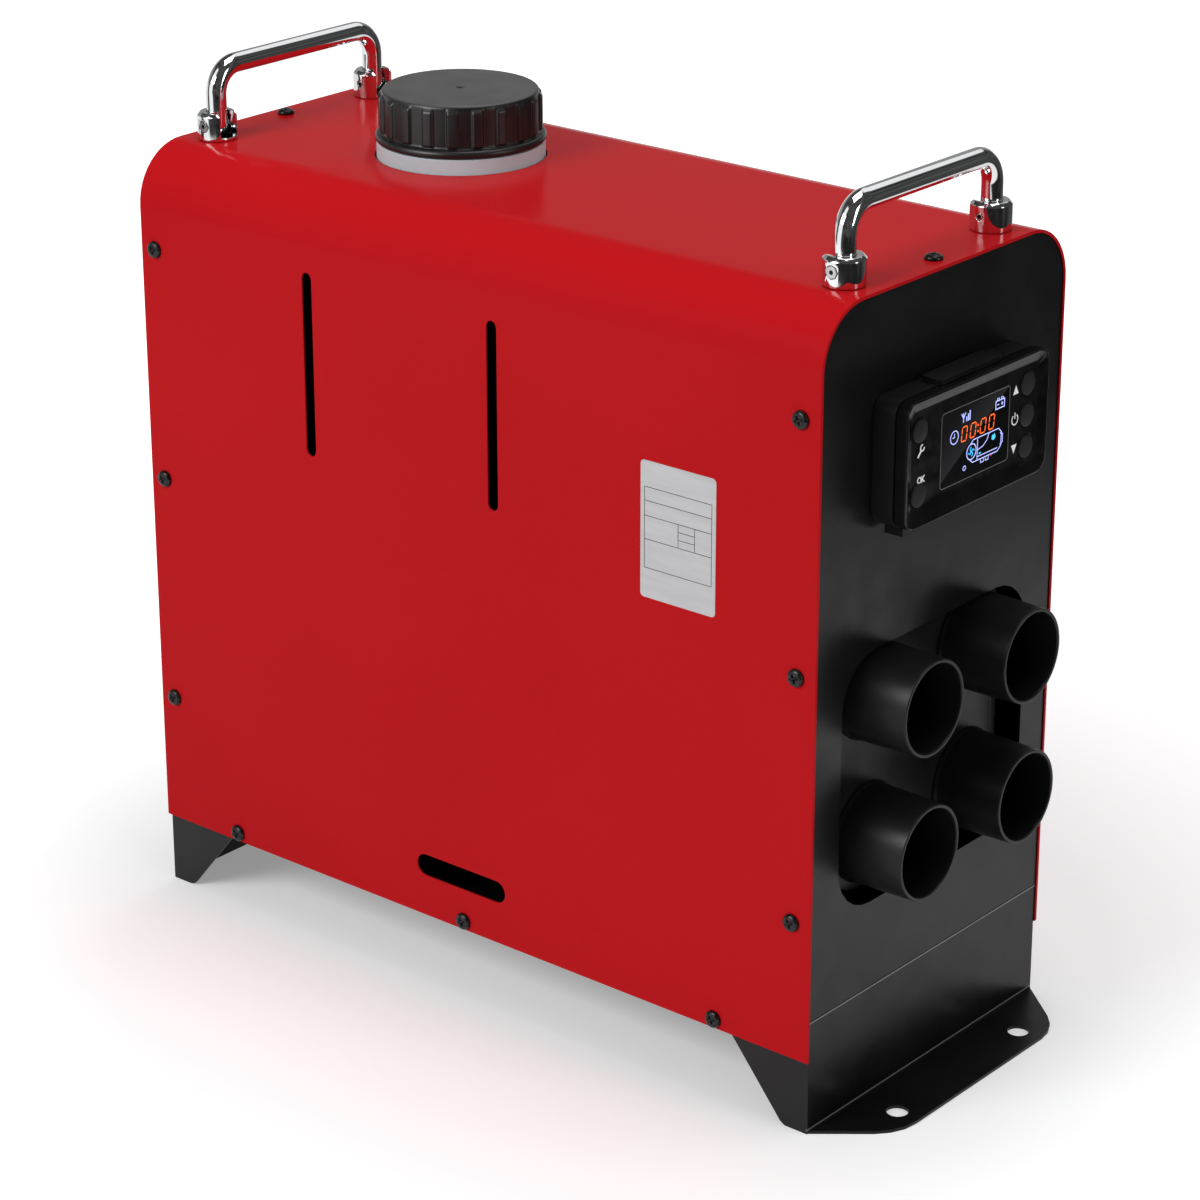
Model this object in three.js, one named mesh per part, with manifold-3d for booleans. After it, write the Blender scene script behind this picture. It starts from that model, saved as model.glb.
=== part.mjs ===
/**
 * All-in-one diesel air heater with four warm-air outlets.
 *
 * A red sheet shell is bent over a tray on two folded feet. The front end carries a clip-on display
 * controller and a plenum with four round outlets, the roof carries the fuel cap and two fold-down
 * handles. Inside are the fuel tank on its shelf, the burner with its finned heat exchanger and fan,
 * and the fuel filter, pump and hoses.
 *
 * Millimetres, +Z up. X runs along the case with the outlet end at +X, Y runs across it.
 */
import * as THREE from 'three';
import { mergeVertices } from 'three/addons/utils/BufferGeometryUtils.js';
import Module from 'manifold-3d';

const wasm = await Module();
wasm.setup();

// Driving dimensions -------------------------------------------------------------------------

const GAP = 0.3;
const SHEET = 1.5;

const BEND_STEPS = 6;
const CASE = { length: 400, width: 180, top: 380, bottom: 36, bend: 28 };
const FACE_SETBACK = 0.6;
const SEAM_Z = 55.2;
const FOOT = { reach: 231, wingRoot: 156, wingToe: 187, wingTop: 52, holeY: 48, holeX: 219.5, holeRadius: 5 };
const TRAY = { floor: 37, rim: 50 };

const SIGHT_SLOT = { xs: [-91.8, 20.3], low: 251, high: 340, width: 6 };
const VENT_SLOT = { x: -2.6, z: 62.2, length: 55, height: 11 };

const OPENING = { halfWidth: 69.5, low: 97.8, high: 218.6, radius: 24 };
const NOZZLE = { y: 37.4, zs: [194.8, 126.4], mouthX: 225, mouthRadius: 21.9, baseRadius: 22.8, wall: 1.6 };
const INLET_RADIUS = 50;
const GUARD = {
  thickness: 2.5,
  outerRing: [48, 58],
  innerRing: [27, 29.5],
  hub: 10,
  spokeLength: 100,
  spokeWidth: 2.4,
};
const GLAND = { y: -58, z: 82, radius: 8.7, flange: 12 };
const PLENUM = { back: 150, front: 190, halfWidth: 62.5, low: 100.2, high: 221, wall: 2.2, radius: 20 };
const OUTLET_HOLE_RADIUS = 20;

const HANDLE = { x: 183.5, y: 53.5, barRadius: 4.9, pivotZ: 387.2, topZ: 414, bend: 13 };
const POST = { radius: 9.5, height: 13, floor: 1.5 };
const PIN = { radius: 1.6, headRadius: 2.8, headHeight: 1.2 };

const NECK = { x: -77, collarRadius: 39.5, collarTop: 387, threadRadius: 31, boreRadius: 27.5, lip: 404 };
const CAP = { flangeRadius: 40, bodyRadius: 37, crownRadius: 34, top: 411.5, boreRadius: 33, ribs: 20 };
const TANK = { rear: -185, front: 45, halfWidth: 70, low: 238, high: 366, wall: 3, radius: 14 };
const SPIGOT = { radius: 4, bore: 2, length: 10 };

const PANEL = { z: 305.5, width: 106, height: 57, radius: 7, front: 217, depth: 5.5 };
const PANEL_FACE = { recess: 1.6, rim: 1.2, chamfer: 5, radius: 3.4 };
const LEAD_Z = PANEL.z - 10;
const BUTTON = { radius: 5.4, flangeRadius: 6.6, face: 216.4 };
const BUTTON_PLACES = {
  settings_button: [-41.6, 319.8],
  confirm_button: [-41.6, 291],
  up_button: [38.8, 319.8],
  power_button: [38.8, 305.4],
  down_button: [38.8, 291],
};
const DISPLAY = { width: 51, height: 34 };
const BOARD_FRONT = 207.6;

const CORE = { z: 160, half: 56, rear: -168, front: 140, wall: 2.2, radius: 24, outlet: 40, collar: 43 };
const PORT_END = CORE.z - CORE.half - 6;
const EXCHANGER = { rear: -30, front: 118, radius: 36, bore: 31, flange: 42, finRadius: 50, fins: 16 };
const FLOOR_PLATE = { thickness: 5, taper: 9 };
const BURNER = { radius: 24, wall: 1.5, front: 45 };
const MOTOR = { rear: -112, front: -62.3, radius: 26, flange: 38 };
const FAN = { tip: 47, hub: 14, blades: 7, chord: 26, x: -146 };
const COMBUSTION = { rear: -62, radius: 40, chamber: 34, backWall: 9.7, eye: 10 };
const VANES = { count: 8, rear: -58, plate: [-51, -49], radius: 30, hub: 8, thickness: 2 };
const SHAFT_RADIUS = 3;
const GLOW_X = -17;
const EXHAUST_X = 6;
const INTAKE_X = -50;

const FUEL_INLET = { x: -50, y: 61, z: 140 };
const FILTER = { x: -180, y: 54, low: 172, high: 205, radius: 10, stub: 8 };
const PUMP = { rear: -140, front: -75, y: 67, z: 62, radius: 13 };
const HOSE_RADIUS = 2.6;
const STUB_RADIUS = 3;

const STAND = { rear: -140, front: 115, halfWidth: 36, foot: 9, sheet: 2 };
const STAND_WINDOW = { xs: [-90, 62], length: 66, radius: 8, margin: 12 };
const PIPE = { clearance: 15, low: 18, exhaust: 12, intake: 11, wall: 1.5 };

// Materials ----------------------------------------------------------------------------------

const finish = (color, roughness, metalness) => () =>
  new THREE.MeshStandardMaterial({ color, roughness, metalness });
const redPaint = finish(0xb3131b, 0.15, 0.0);
const blackPaint = finish(0x17181a, 0.55, 0.1);
const blackPlastic = finish(0x1c1c1d, 0.5, 0.0);
const glossPlastic = finish(0x050505, 0.08, 0.0);
const whitePlastic = finish(0xe4e4e6, 0.4, 0.0);
const chrome = finish(0xd8dadc, 0.06, 1.0);
const steel = finish(0x9a9c9f, 0.35, 1.0);
const aluminium = finish(0xa9acb0, 0.4, 0.9);
const rubber = finish(0x141414, 0.85, 0.0);
const glass = finish(0x0a0c10, 0.05, 0.0);
const circuitBoard = finish(0x1d4f2b, 0.6, 0.0);

// Solids from three.js geometry --------------------------------------------------------------

/** A closed geometry as a solid: shared vertices merged, slivers dropped, faces turned outward. */
function solid(geometry) {
  const bare = geometry.clone();
  bare.deleteAttribute('normal');
  bare.deleteAttribute('uv');
  const merged = mergeVertices(bare, 1e-4);
  const vertices = merged.attributes.position.array;
  const faces = [];
  let volume = 0;
  const [a, b, c] = [new THREE.Vector3(), new THREE.Vector3(), new THREE.Vector3()];
  for (let i = 0; i < merged.index.count; i += 3) {
    const corners = [0, 1, 2].map((k) => merged.index.getX(i + k));
    if (new Set(corners).size < 3) continue;
    faces.push(corners);
    [a, b, c].forEach((point, k) => point.fromArray(vertices, corners[k] * 3));
    volume += a.dot(b.cross(c));
  }
  if (volume < 0) faces.forEach((corners) => corners.reverse());
  return new wasm.Manifold(
    new wasm.Mesh({
      numProp: 3,
      vertProperties: new Float32Array(vertices),
      triVerts: new Uint32Array(faces.flat()),
    }),
  );
}

/** A solid as a geometry for a mesh. */
function geometryOf(manifold) {
  const { vertProperties, triVerts } = manifold.getMesh();
  const geometry = new THREE.BufferGeometry();
  geometry.setAttribute('position', new THREE.BufferAttribute(vertProperties, 3));
  geometry.setIndex(new THREE.BufferAttribute(triVerts, 1));
  geometry.computeVertexNormals();
  return geometry;
}

const joined = (...solids) => solids.flat().reduce((sum, next) => sum.add(next));
const cut = (body, ...tools) => tools.flat().reduce((rest, tool) => rest.subtract(tool), body);

function block(x0, x1, y0, y1, z0, z1) {
  const geometry = new THREE.BoxGeometry(x1 - x0, y1 - y0, z1 - z0);
  geometry.translate((x0 + x1) / 2, (y0 + y1) / 2, (z0 + z1) / 2);
  return solid(geometry);
}

/** Turns geometry drawn along +Z or round +Y to lie along another axis. */
const LAY_PRISM = {
  x: new THREE.Matrix4().makeBasis(
    new THREE.Vector3(0, 1, 0),
    new THREE.Vector3(0, 0, 1),
    new THREE.Vector3(1, 0, 0),
  ),
  y: new THREE.Matrix4().makeBasis(
    new THREE.Vector3(1, 0, 0),
    new THREE.Vector3(0, 0, 1),
    new THREE.Vector3(0, -1, 0),
  ),
  z: new THREE.Matrix4(),
};

/** A flat outline pushed from one station to the next along an axis. Its own axes are Y-Z, X-Z or X-Y. */
function prism(outline, axis, from, to, curveSegments = 3) {
  const geometry = new THREE.ExtrudeGeometry(outline, { depth: to - from, bevelEnabled: false, curveSegments });
  geometry.applyMatrix4(LAY_PRISM[axis]);
  const start = axis === 'y' ? to : from;
  geometry.translate(axis === 'x' ? start : 0, axis === 'y' ? start : 0, axis === 'z' ? start : 0);
  return solid(geometry);
}

/** A prism along X whose outline changes evenly from one shape to another with as many points. */
function tapered(first, second, from, to) {
  const rings = [first, second].map((outline) => outline.extractPoints(2).shape);
  const count = rings[0].length;
  const geometry = new THREE.BufferGeometry();
  const place = (ring, x) => ring.flatMap(({ x: y, y: z }) => [x, y, z]);
  const points = [...place(rings[0], from), ...place(rings[1], to)];
  geometry.setAttribute('position', new THREE.Float32BufferAttribute(points, 3));
  const faces = THREE.ShapeUtils.triangulateShape(rings[0], []).flatMap(([a, b, c]) => [
    [c, b, a],
    [a + count, b + count, c + count],
  ]);
  for (let i = 0; i < count; i += 1) {
    const next = (i + 1) % count;
    faces.push([i, next, next + count], [i, next + count, i + count]);
  }
  geometry.setIndex(faces.flat());
  return solid(geometry);
}

/** A profile of [radius, station] points turned round an axis through the given centre. */
function turned(profile, axis, [cx, cy, cz], sides = 24) {
  const points = profile.map(([radius, station]) => new THREE.Vector2(radius, station));
  if (profile[0][0] > 0) points.push(points[0].clone());
  const geometry = new THREE.LatheGeometry(points, sides);
  if (axis === 'x') geometry.rotateZ(-Math.PI / 2);
  if (axis === 'z') geometry.rotateX(Math.PI / 2);
  geometry.translate(axis === 'x' ? 0 : cx, axis === 'y' ? 0 : cy, axis === 'z' ? 0 : cz);
  return solid(geometry);
}

/** A geometry drawn round the X or Z axis, turned by degrees about it and carried to a centre. */
function spun(geometry, axis, degrees, [cx, cy, cz]) {
  const turn = THREE.MathUtils.degToRad(degrees);
  if (axis === 'x') geometry.rotateX(turn);
  if (axis === 'z') geometry.rotateZ(turn);
  return solid(geometry.translate(cx, cy, cz));
}

const rod = (axis, radius, from, to, centre, sides = 20) =>
  turned([[0, from], [radius, from], [radius, to], [0, to]], axis, centre, sides);

/** A round bar through points, each [position, radius]. A ring stands across the path at every point. */
function bar(points, sides) {
  const positions = [];
  const tangents = points.map((_, i) => {
    const [before, after] = [points[Math.max(i - 1, 0)][0], points[Math.min(i + 1, points.length - 1)][0]];
    return after.clone().sub(before).normalize();
  });
  const normal = new THREE.Vector3(1, 0, 0);
  if (Math.abs(normal.dot(tangents[0])) > 0.9) normal.set(0, 1, 0);
  points.forEach(([centre, radius], i) => {
    normal.addScaledVector(tangents[i], -normal.dot(tangents[i])).normalize();
    const across = new THREE.Vector3().crossVectors(tangents[i], normal);
    for (let k = 0; k < sides; k += 1) {
      const angle = (2 * Math.PI * k) / sides;
      const point = centre.clone().addScaledVector(normal, radius * Math.cos(angle));
      positions.push(...point.addScaledVector(across, radius * Math.sin(angle)).toArray());
    }
  });
  const faces = [];
  const last = sides * (points.length - 1);
  for (let k = 1; k < sides - 1; k += 1) faces.push([0, k + 1, k], [last, last + k, last + k + 1]);
  for (let i = 0; i < last; i += sides) {
    for (let k = 0; k < sides; k += 1) {
      const next = (k + 1) % sides;
      faces.push([i + k, i + next, i + sides + next], [i + k, i + sides + next, i + sides + k]);
    }
  }
  const geometry = new THREE.BufferGeometry();
  geometry.setAttribute('position', new THREE.Float32BufferAttribute(positions, 3));
  geometry.setIndex(faces.flat());
  return solid(geometry);
}

// Outlines -----------------------------------------------------------------------------------

function roundedRectangle(cx, cy, width, height, radius) {
  const [left, right] = [cx - width / 2, cx + width / 2];
  const [low, high] = [cy - height / 2, cy + height / 2];
  const outline = new THREE.Shape();
  outline.absarc(right - radius, high - radius, radius, 0, Math.PI / 2, false);
  outline.absarc(left + radius, high - radius, radius, Math.PI / 2, Math.PI, false);
  outline.absarc(left + radius, low + radius, radius, Math.PI, 1.5 * Math.PI, false);
  outline.absarc(right - radius, low + radius, radius, 1.5 * Math.PI, 2 * Math.PI, false);
  return outline;
}

/** The case's end view: square at the bottom, with its two top corners bent. */
function arch(halfWidth, low, high, radius) {
  const outline = new THREE.Shape();
  outline.moveTo(-halfWidth, low);
  outline.lineTo(halfWidth, low);
  outline.absarc(halfWidth - radius, high - radius, radius, 0, Math.PI / 2, false);
  outline.absarc(-halfWidth + radius, high - radius, radius, Math.PI / 2, Math.PI, false);
  return outline;
}

function slot(cx, cy, width, height) {
  const radius = Math.min(width, height) / 2;
  return roundedRectangle(cx, cy, width, height, radius - 0.01);
}

const polygon = (points) => new THREE.Shape(points.map(([x, y]) => new THREE.Vector2(x, y)));

// Case ---------------------------------------------------------------------------------------

const HALF = CASE.length / 2;
const SIDE = CASE.width / 2;
const FACE = HALF - FACE_SETBACK;
const INNER_SIDE = SIDE - SHEET - GAP;

function outerShell() {
  const outside = prism(arch(SIDE, CASE.bottom, CASE.top, CASE.bend), 'x', -HALF, HALF, BEND_STEPS);
  const innerArch = arch(SIDE - SHEET, CASE.bottom - 1, CASE.top - SHEET, CASE.bend - SHEET);
  const inside = prism(innerArch, 'x', -HALF - 1, HALF + 1, BEND_STEPS);
  const slotMiddle = (SIGHT_SLOT.low + SIGHT_SLOT.high) / 2;
  const sightSlots = SIGHT_SLOT.xs.map((x) =>
    prism(slot(x, slotMiddle, SIGHT_SLOT.width, SIGHT_SLOT.high - SIGHT_SLOT.low), 'y', -SIDE - 1, SIDE + 1, 1),
  );
  const ventSlot = prism(
    slot(VENT_SLOT.x, VENT_SLOT.z, VENT_SLOT.length, VENT_SLOT.height),
    'y',
    -SIDE - 1,
    SIDE + 1,
    2,
  );
  const neckHole = rod('z', NECK.collarRadius + 0.8, CASE.top - 10, CASE.top + 1, [NECK.x, 0, 0], 32);
  return cut(outside, inside, sightSlots, ventSlot, neckHole);
}

/** A folded end pan: its face, two side folds and a roof fold. Facing is +1 at the front, -1 at the rear. */
function endPan(facing, openings) {
  const fold = 12;
  const sideFold = { low: 62, high: CASE.top - CASE.bend - 4 };
  const roofFold = 40;
  const [inner, outer] = [FACE - SHEET, FACE];
  const station = (a, b) => (facing > 0 ? [a, b] : [-b, -a]);
  const outline = arch(INNER_SIDE, SEAM_Z + GAP, CASE.top - SHEET - GAP, CASE.bend - SHEET - GAP);
  const face = prism(outline, 'x', ...station(inner, outer), BEND_STEPS);
  const folds = [-1, 1].map((side) => {
    const ys = [side * INNER_SIDE, side * (INNER_SIDE - SHEET)].sort((a, b) => a - b);
    return block(...station(inner - fold, inner + 0.5), ...ys, sideFold.low, sideFold.high);
  });
  const top = CASE.top - SHEET - GAP;
  const roof = block(...station(inner - fold, inner + 0.5), -roofFold, roofFold, top - SHEET, top);
  return cut(joined(face, folds, roof), openings);
}

function frontEndPlate() {
  const middle = (OPENING.low + OPENING.high) / 2;
  const height = OPENING.high - OPENING.low;
  const outline = roundedRectangle(0, middle, 2 * OPENING.halfWidth, height, OPENING.radius);
  const leadHole = rod('x', 8, FACE - 5, FACE + 5, [0, 0, LEAD_Z], 12);
  return endPan(1, [prism(outline, 'x', FACE - 5, FACE + 5), leadHole]);
}

function rearEndPlate() {
  const inlet = rod('x', INLET_RADIUS, -FACE - 5, -FACE + 5, [0, 0, CORE.z], 28);
  const glandHole = rod('x', GLAND.radius + GAP, -FACE - 5, -FACE + 5, [0, GLAND.y, GLAND.z], 12);
  return endPan(-1, [inlet, glandHole]);
}

/** Rings and spokes that keep fingers out of the fan. */
function inletGuard() {
  const back = -FACE + SHEET + GAP;
  const [x0, x1] = [back, back + GUARD.thickness];
  const centre = [0, 0, CORE.z];
  const rings = [GUARD.outerRing, GUARD.innerRing].map(([inside, outside]) =>
    turned([[inside, x0], [outside, x0], [outside, x1], [inside, x1]], 'x', centre, 20),
  );
  const spokes = [30, 90, 150].map((degrees) => {
    const spoke = new THREE.BoxGeometry(GUARD.thickness, GUARD.spokeLength, GUARD.spokeWidth);
    return spun(spoke, 'x', degrees, [(x0 + x1) / 2, 0, CORE.z]);
  });
  return joined(rings, rod('x', GUARD.hub, x0, x1, centre, 12), spokes);
}

function powerGland() {
  const outerEnd = -FACE;
  const seat = -FACE + SHEET + GAP;
  const bore = 5;
  const profile = [
    [bore, outerEnd],
    [GLAND.radius, outerEnd],
    [GLAND.radius, seat],
    [GLAND.flange, seat],
    [GLAND.flange, seat + 3],
    [GLAND.radius, seat + 3],
    [GLAND.radius, seat + 9],
    [bore, seat + 9],
  ];
  return turned(profile, 'x', [0, GLAND.y, GLAND.z], 12);
}

/** A foot's face with a wing folded back along each side. Facing is +1 at the front, -1 at the rear. */
function footBody(facing) {
  const [inner, outer] = facing > 0 ? [FACE - SHEET, FACE] : [-FACE, -FACE + SHEET];
  const face = block(inner, outer, -INNER_SIDE, INNER_SIDE, 0, SEAM_Z);
  const toe = 2.5;
  const outline = [
    [FACE - SHEET / 2, 0],
    [FOOT.wingToe, 0],
    [FOOT.wingToe - toe, toe * 0.6],
    [FOOT.wingRoot, CASE.bottom],
    [FOOT.wingRoot, FOOT.wingTop],
    [FACE - SHEET / 2, FOOT.wingTop],
  ].map(([x, z]) => [x * facing, z]);
  const wings = [-1, 1].map((side) => {
    const [y0, y1] = side > 0 ? [INNER_SIDE - SHEET, INNER_SIDE] : [-INNER_SIDE, -INNER_SIDE + SHEET];
    return prism(polygon(outline), 'y', y0, y1);
  });
  return joined(face, wings);
}

const boltHole = (x, y) => rod('z', FOOT.holeRadius, -1, 5, [x, y, 0]);

/** The flange narrows towards its rounded outer corners. */
function frontFoot() {
  const root = FACE - SHEET / 2;
  const corner = { x: 222, y: 69 };
  const outline = new THREE.Shape();
  outline.moveTo(root, -INNER_SIDE);
  outline.lineTo(corner.x, -corner.y);
  outline.quadraticCurveTo(FOOT.reach, -corner.y + 8, FOOT.reach, -corner.y + 19);
  outline.lineTo(FOOT.reach, corner.y - 19);
  outline.quadraticCurveTo(FOOT.reach, corner.y - 8, corner.x, corner.y);
  outline.lineTo(root, INNER_SIDE);
  const flange = prism(outline, 'z', 0, SHEET);
  return cut(joined(footBody(1), flange), boltHole(FOOT.holeX, -FOOT.holeY), boltHole(FOOT.holeX, FOOT.holeY));
}

function rearFoot() {
  const inward = 28;
  const root = -FACE + SHEET / 2;
  const flange = block(root, root + inward, -INNER_SIDE + 4, INNER_SIDE - 4, 0, SHEET);
  const holes = [-1, 1].map((side) => boltHole(root + inward / 2, side * FOOT.holeY));
  return cut(joined(footBody(-1), flange), holes);
}

/** Round holes for the exhaust and intake pipes between two heights. */
const pipeHoles = (low, high) =>
  [EXHAUST_X, INTAKE_X].map((x) => rod('z', PIPE.clearance, low, high, [x, 0, 0], 12));

function baseTray() {
  const halfLength = FACE - SHEET - GAP;
  const halfWidth = INNER_SIDE - SHEET - GAP;
  const pan = block(-halfLength, halfLength, -halfWidth, halfWidth, TRAY.floor, TRAY.rim);
  const hollow = block(
    -halfLength - 1,
    halfLength + 1,
    -halfWidth + SHEET,
    halfWidth - SHEET,
    TRAY.floor + SHEET,
    TRAY.rim + 1,
  );
  return cut(pan, hollow, pipeHoles(TRAY.floor - 1, TRAY.rim));
}

// Handles ------------------------------------------------------------------------------------

/** A round post with a slot towards the middle of the roof, where the handle's leg folds out. */
function handlePost(end, side) {
  const [x, y] = [end * HANDLE.x, side * HANDLE.y];
  const base = CASE.top + GAP;
  const top = base + POST.height;
  const chamfer = 1.5;
  const body = turned(
    [[0, base], [POST.radius, base], [POST.radius, top - chamfer], [POST.radius - chamfer, top], [0, top]],
    'z',
    [x, y, 0],
    18,
  );
  const room = HANDLE.barRadius + 0.4;
  const slotFloor = base + POST.floor;
  const [x0, x1] = end > 0 ? [x - 15, x] : [x, x + 15];
  const channel = joined(
    rod('z', room, slotFloor, top + 1, [x, y, 0], 12),
    block(x0, x1, y - room, y + room, slotFloor, top + 1),
  );
  const outward = side * (POST.radius - 1.6);
  const bore = rod('y', PIN.radius + 0.2, y - 12, y + 12, [x, 0, HANDLE.pivotZ], 8);
  const recess = rod(
    'y',
    PIN.headRadius + GAP,
    Math.min(y + outward, y + side * 12),
    Math.max(y + outward, y + side * 12),
    [x, 0, HANDLE.pivotZ],
    8,
  );
  return cut(body, channel, bore, recess);
}

/** A U of round bar. Its rounded leg ends turn on the cross pins. */
function handleBar(end) {
  const { y, pivotZ, topZ, bend, barRadius } = HANDLE;
  const x = end * HANDLE.x;
  const at = (py, pz, radius = barRadius) => [new THREE.Vector3(x, py, pz), radius];
  const footAngles = [85, 50, 20, 0].map(THREE.MathUtils.degToRad);
  const foot = footAngles.map((t) => at(-y, pivotZ - barRadius * Math.sin(t), barRadius * Math.cos(t)));
  const bendAngles = [0, 18, 36, 54, 72, 90].map(THREE.MathUtils.degToRad);
  const corner = bendAngles.map((t) => at(-y + bend * (1 - Math.cos(t)), topZ - bend * (1 - Math.sin(t))));
  const half = [...foot, ...corner];
  const mirrored = half.map(([point, radius]) => at(-point.y, point.z, radius)).reverse();
  const bores = [-y, y].map((ey) => rod('y', PIN.radius + 0.2, ey - 10, ey + 10, [x, 0, pivotZ], 8));
  return cut(bar([...half, ...mirrored], 12), bores);
}

function handlePin(end, side) {
  const reach = POST.radius - 0.4;
  const seat = POST.radius - 1.6 + GAP;
  const profile = [
    [0, -reach],
    [PIN.radius, -reach],
    [PIN.radius, seat],
    [PIN.headRadius, seat],
    [PIN.headRadius, seat + PIN.headHeight],
    [0, seat + PIN.headHeight],
  ].map(([radius, station]) => [radius, (station + HANDLE.y) * side]);
  return turned(profile, 'y', [end * HANDLE.x, 0, HANDLE.pivotZ], 8);
}

// Fuel ---------------------------------------------------------------------------------------

function fuelTank() {
  const { rear, front, halfWidth, low, high, wall, radius } = TANK;
  const section = (inset) =>
    roundedRectangle(0, (low + high) / 2, 2 * (halfWidth - inset), high - low - 2 * inset, radius - inset);
  const body = prism(section(0), 'x', rear, front, 2);
  const neck = rod('z', NECK.threadRadius, high - 6, NECK.lip, [NECK.x, 0, 0], 24);
  const outletSpigot = rod('z', SPIGOT.radius, low - SPIGOT.length, low + 2, [FILTER.x, FILTER.y, 0], 10);
  const hollow = prism(section(wall), 'x', rear + wall, front - wall, 2);
  const fillBore = rod('z', NECK.boreRadius, high - 8, NECK.lip + 1, [NECK.x, 0, 0], 24);
  const boreEnds = [low - SPIGOT.length - 1, low + wall + 1];
  const outletBore = rod('z', SPIGOT.bore, ...boreEnds, [FILTER.x, FILTER.y, 0], 8);
  return cut(joined(body, neck, outletSpigot), hollow, fillBore, outletBore);
}

/** The white ring that fills the roof's hole round the neck. */
function neckCollar() {
  const [low, high] = [TANK.high + GAP, NECK.collarTop];
  const [inside, outside] = [NECK.threadRadius + 0.6, NECK.collarRadius];
  return turned([[inside, low], [outside, low], [outside, high], [inside, high]], 'z', [NECK.x, 0, 0], 28);
}

function capSeal() {
  const [low, high] = [NECK.lip + GAP, NECK.lip + 2.8];
  const [inside, outside] = [NECK.boreRadius + 0.5, NECK.threadRadius + 1];
  return turned([[inside, low], [outside, low], [outside, high], [inside, high]], 'z', [NECK.x, 0, 0], 16);
}

/** A hollow screw cap: a foot ring, a body with grip ribs, a rounded crown and a breather hole. */
function fuelCap() {
  const low = NECK.collarTop + GAP;
  const roof = NECK.lip + 3.1;
  const shell = turned(
    [
      [0, low],
      [CAP.flangeRadius, low],
      [CAP.flangeRadius, low + 2.8],
      [CAP.bodyRadius, low + 4],
      [CAP.bodyRadius - 0.4, CAP.top - 3.2],
      [CAP.crownRadius + 1.2, CAP.top - 0.8],
      [CAP.crownRadius - 0.6, CAP.top],
      [0, CAP.top],
    ],
    'z',
    [NECK.x, 0, 0],
    40,
  );
  const pitch = (2 * Math.PI) / CAP.ribs;
  const outline = [];
  for (let i = 0; i < CAP.ribs; i += 1) {
    const at = (share, radius) => {
      const angle = (i + share) * pitch;
      outline.push([NECK.x + radius * Math.cos(angle), radius * Math.sin(angle)]);
    };
    at(0.02, CAP.bodyRadius - 1);
    at(0.06, CAP.bodyRadius + 1.4);
    at(0.48, CAP.bodyRadius + 1.4);
    at(0.52, CAP.bodyRadius - 1);
  }
  const ribs = prism(polygon(outline), 'z', low + 3.4, CAP.top - 5.5);
  const bore = rod('z', CAP.boreRadius, low - 1, roof, [NECK.x, 0, 0], 24);
  const hole = rod('z', 1.2, roof - 1, CAP.top + 1, [NECK.x, 0, 0], 8);
  return cut(joined(shell, ribs), bore, hole);
}

/** The shelf that the tank stands on, folded up at the sides and in front of the tank. */
function tankShelf() {
  const top = TANK.low - GAP;
  const [x0, x1] = [TANK.rear - 0.6, TANK.front + GAP + SHEET];
  const plate = block(x0, x1, -INNER_SIDE, INNER_SIDE, top - SHEET, top);
  const sideFolds = [-1, 1].map((side) => {
    const ys = [side * INNER_SIDE, side * (INNER_SIDE - SHEET)].sort((a, b) => a - b);
    return block(x0, x1, ...ys, top - SHEET, top + 11);
  });
  const stop = block(x1 - SHEET, x1, -INNER_SIDE + 10, INNER_SIDE - 10, top - SHEET, top + 24);
  const spigotHole = rod('z', 6, top - 5, top + 2, [FILTER.x, FILTER.y, 0], 12);
  return cut(joined(plate, sideFolds, stop), spigotHole);
}

function fuelFilter() {
  const { x, y, low, high, radius, stub } = FILTER;
  const profile = [
    [0, low - stub],
    [STUB_RADIUS, low - stub],
    [STUB_RADIUS, low - 2],
    [radius * 0.7, low],
    [radius, low + 3],
    [radius, high - 3],
    [radius * 0.7, high],
    [STUB_RADIUS, high + 2],
    [STUB_RADIUS, high + stub],
    [0, high + stub],
  ];
  return turned(profile, 'z', [x, y, 0], 10);
}

/** A dosing pump: a stepped steel body between two hose stubs. */
function fuelPump() {
  const { rear, front, y, z, radius } = PUMP;
  const profile = [
    [0, rear],
    [STUB_RADIUS, rear],
    [STUB_RADIUS, rear + 8],
    [7, rear + 8],
    [7, rear + 14],
    [radius, rear + 16],
    [radius, front - 18],
    [8, front - 16],
    [8, front - 8],
    [STUB_RADIUS, front - 8],
    [STUB_RADIUS, front],
    [0, front],
  ];
  return turned(profile, 'x', [0, y, z], 12);
}

/** A rubber-lined clip that stands on the tray and holds the pump. */
function pumpClip() {
  const { rear, front, y, z, radius } = PUMP;
  const middle = (rear + front) / 2;
  const [x0, x1] = [middle - 6, middle + 6];
  const floor = TRAY.floor + SHEET + GAP;
  const ring = rod('x', radius + 3.5, x0, x1, [0, y, z], 12);
  const stand = block(x0, x1, y - 9, y + 9, floor, z);
  return cut(joined(ring, stand), rod('x', radius + GAP, x0 - 1, x1 + 1, [0, y, z], 12));
}

/** A hose on a smooth curve through the given points, with an extra ring that squares off each end. */
function hose(points, steps) {
  const curve = new THREE.CatmullRomCurve3(points.map((p) => new THREE.Vector3(...p)));
  const even = Array.from({ length: steps - 1 }, (_, i) => (i + 1) / steps);
  const shares = [0, 0.01, ...even, 0.99, 1];
  return bar(shares.map((share) => [curve.getPointAt(share), HOSE_RADIUS]), 7);
}

function tankHose() {
  const { x, y, high } = FILTER;
  return hose([[x, y, TANK.low - SPIGOT.length - GAP], [x, y, high + FILTER.stub + GAP]], 1);
}

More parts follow.
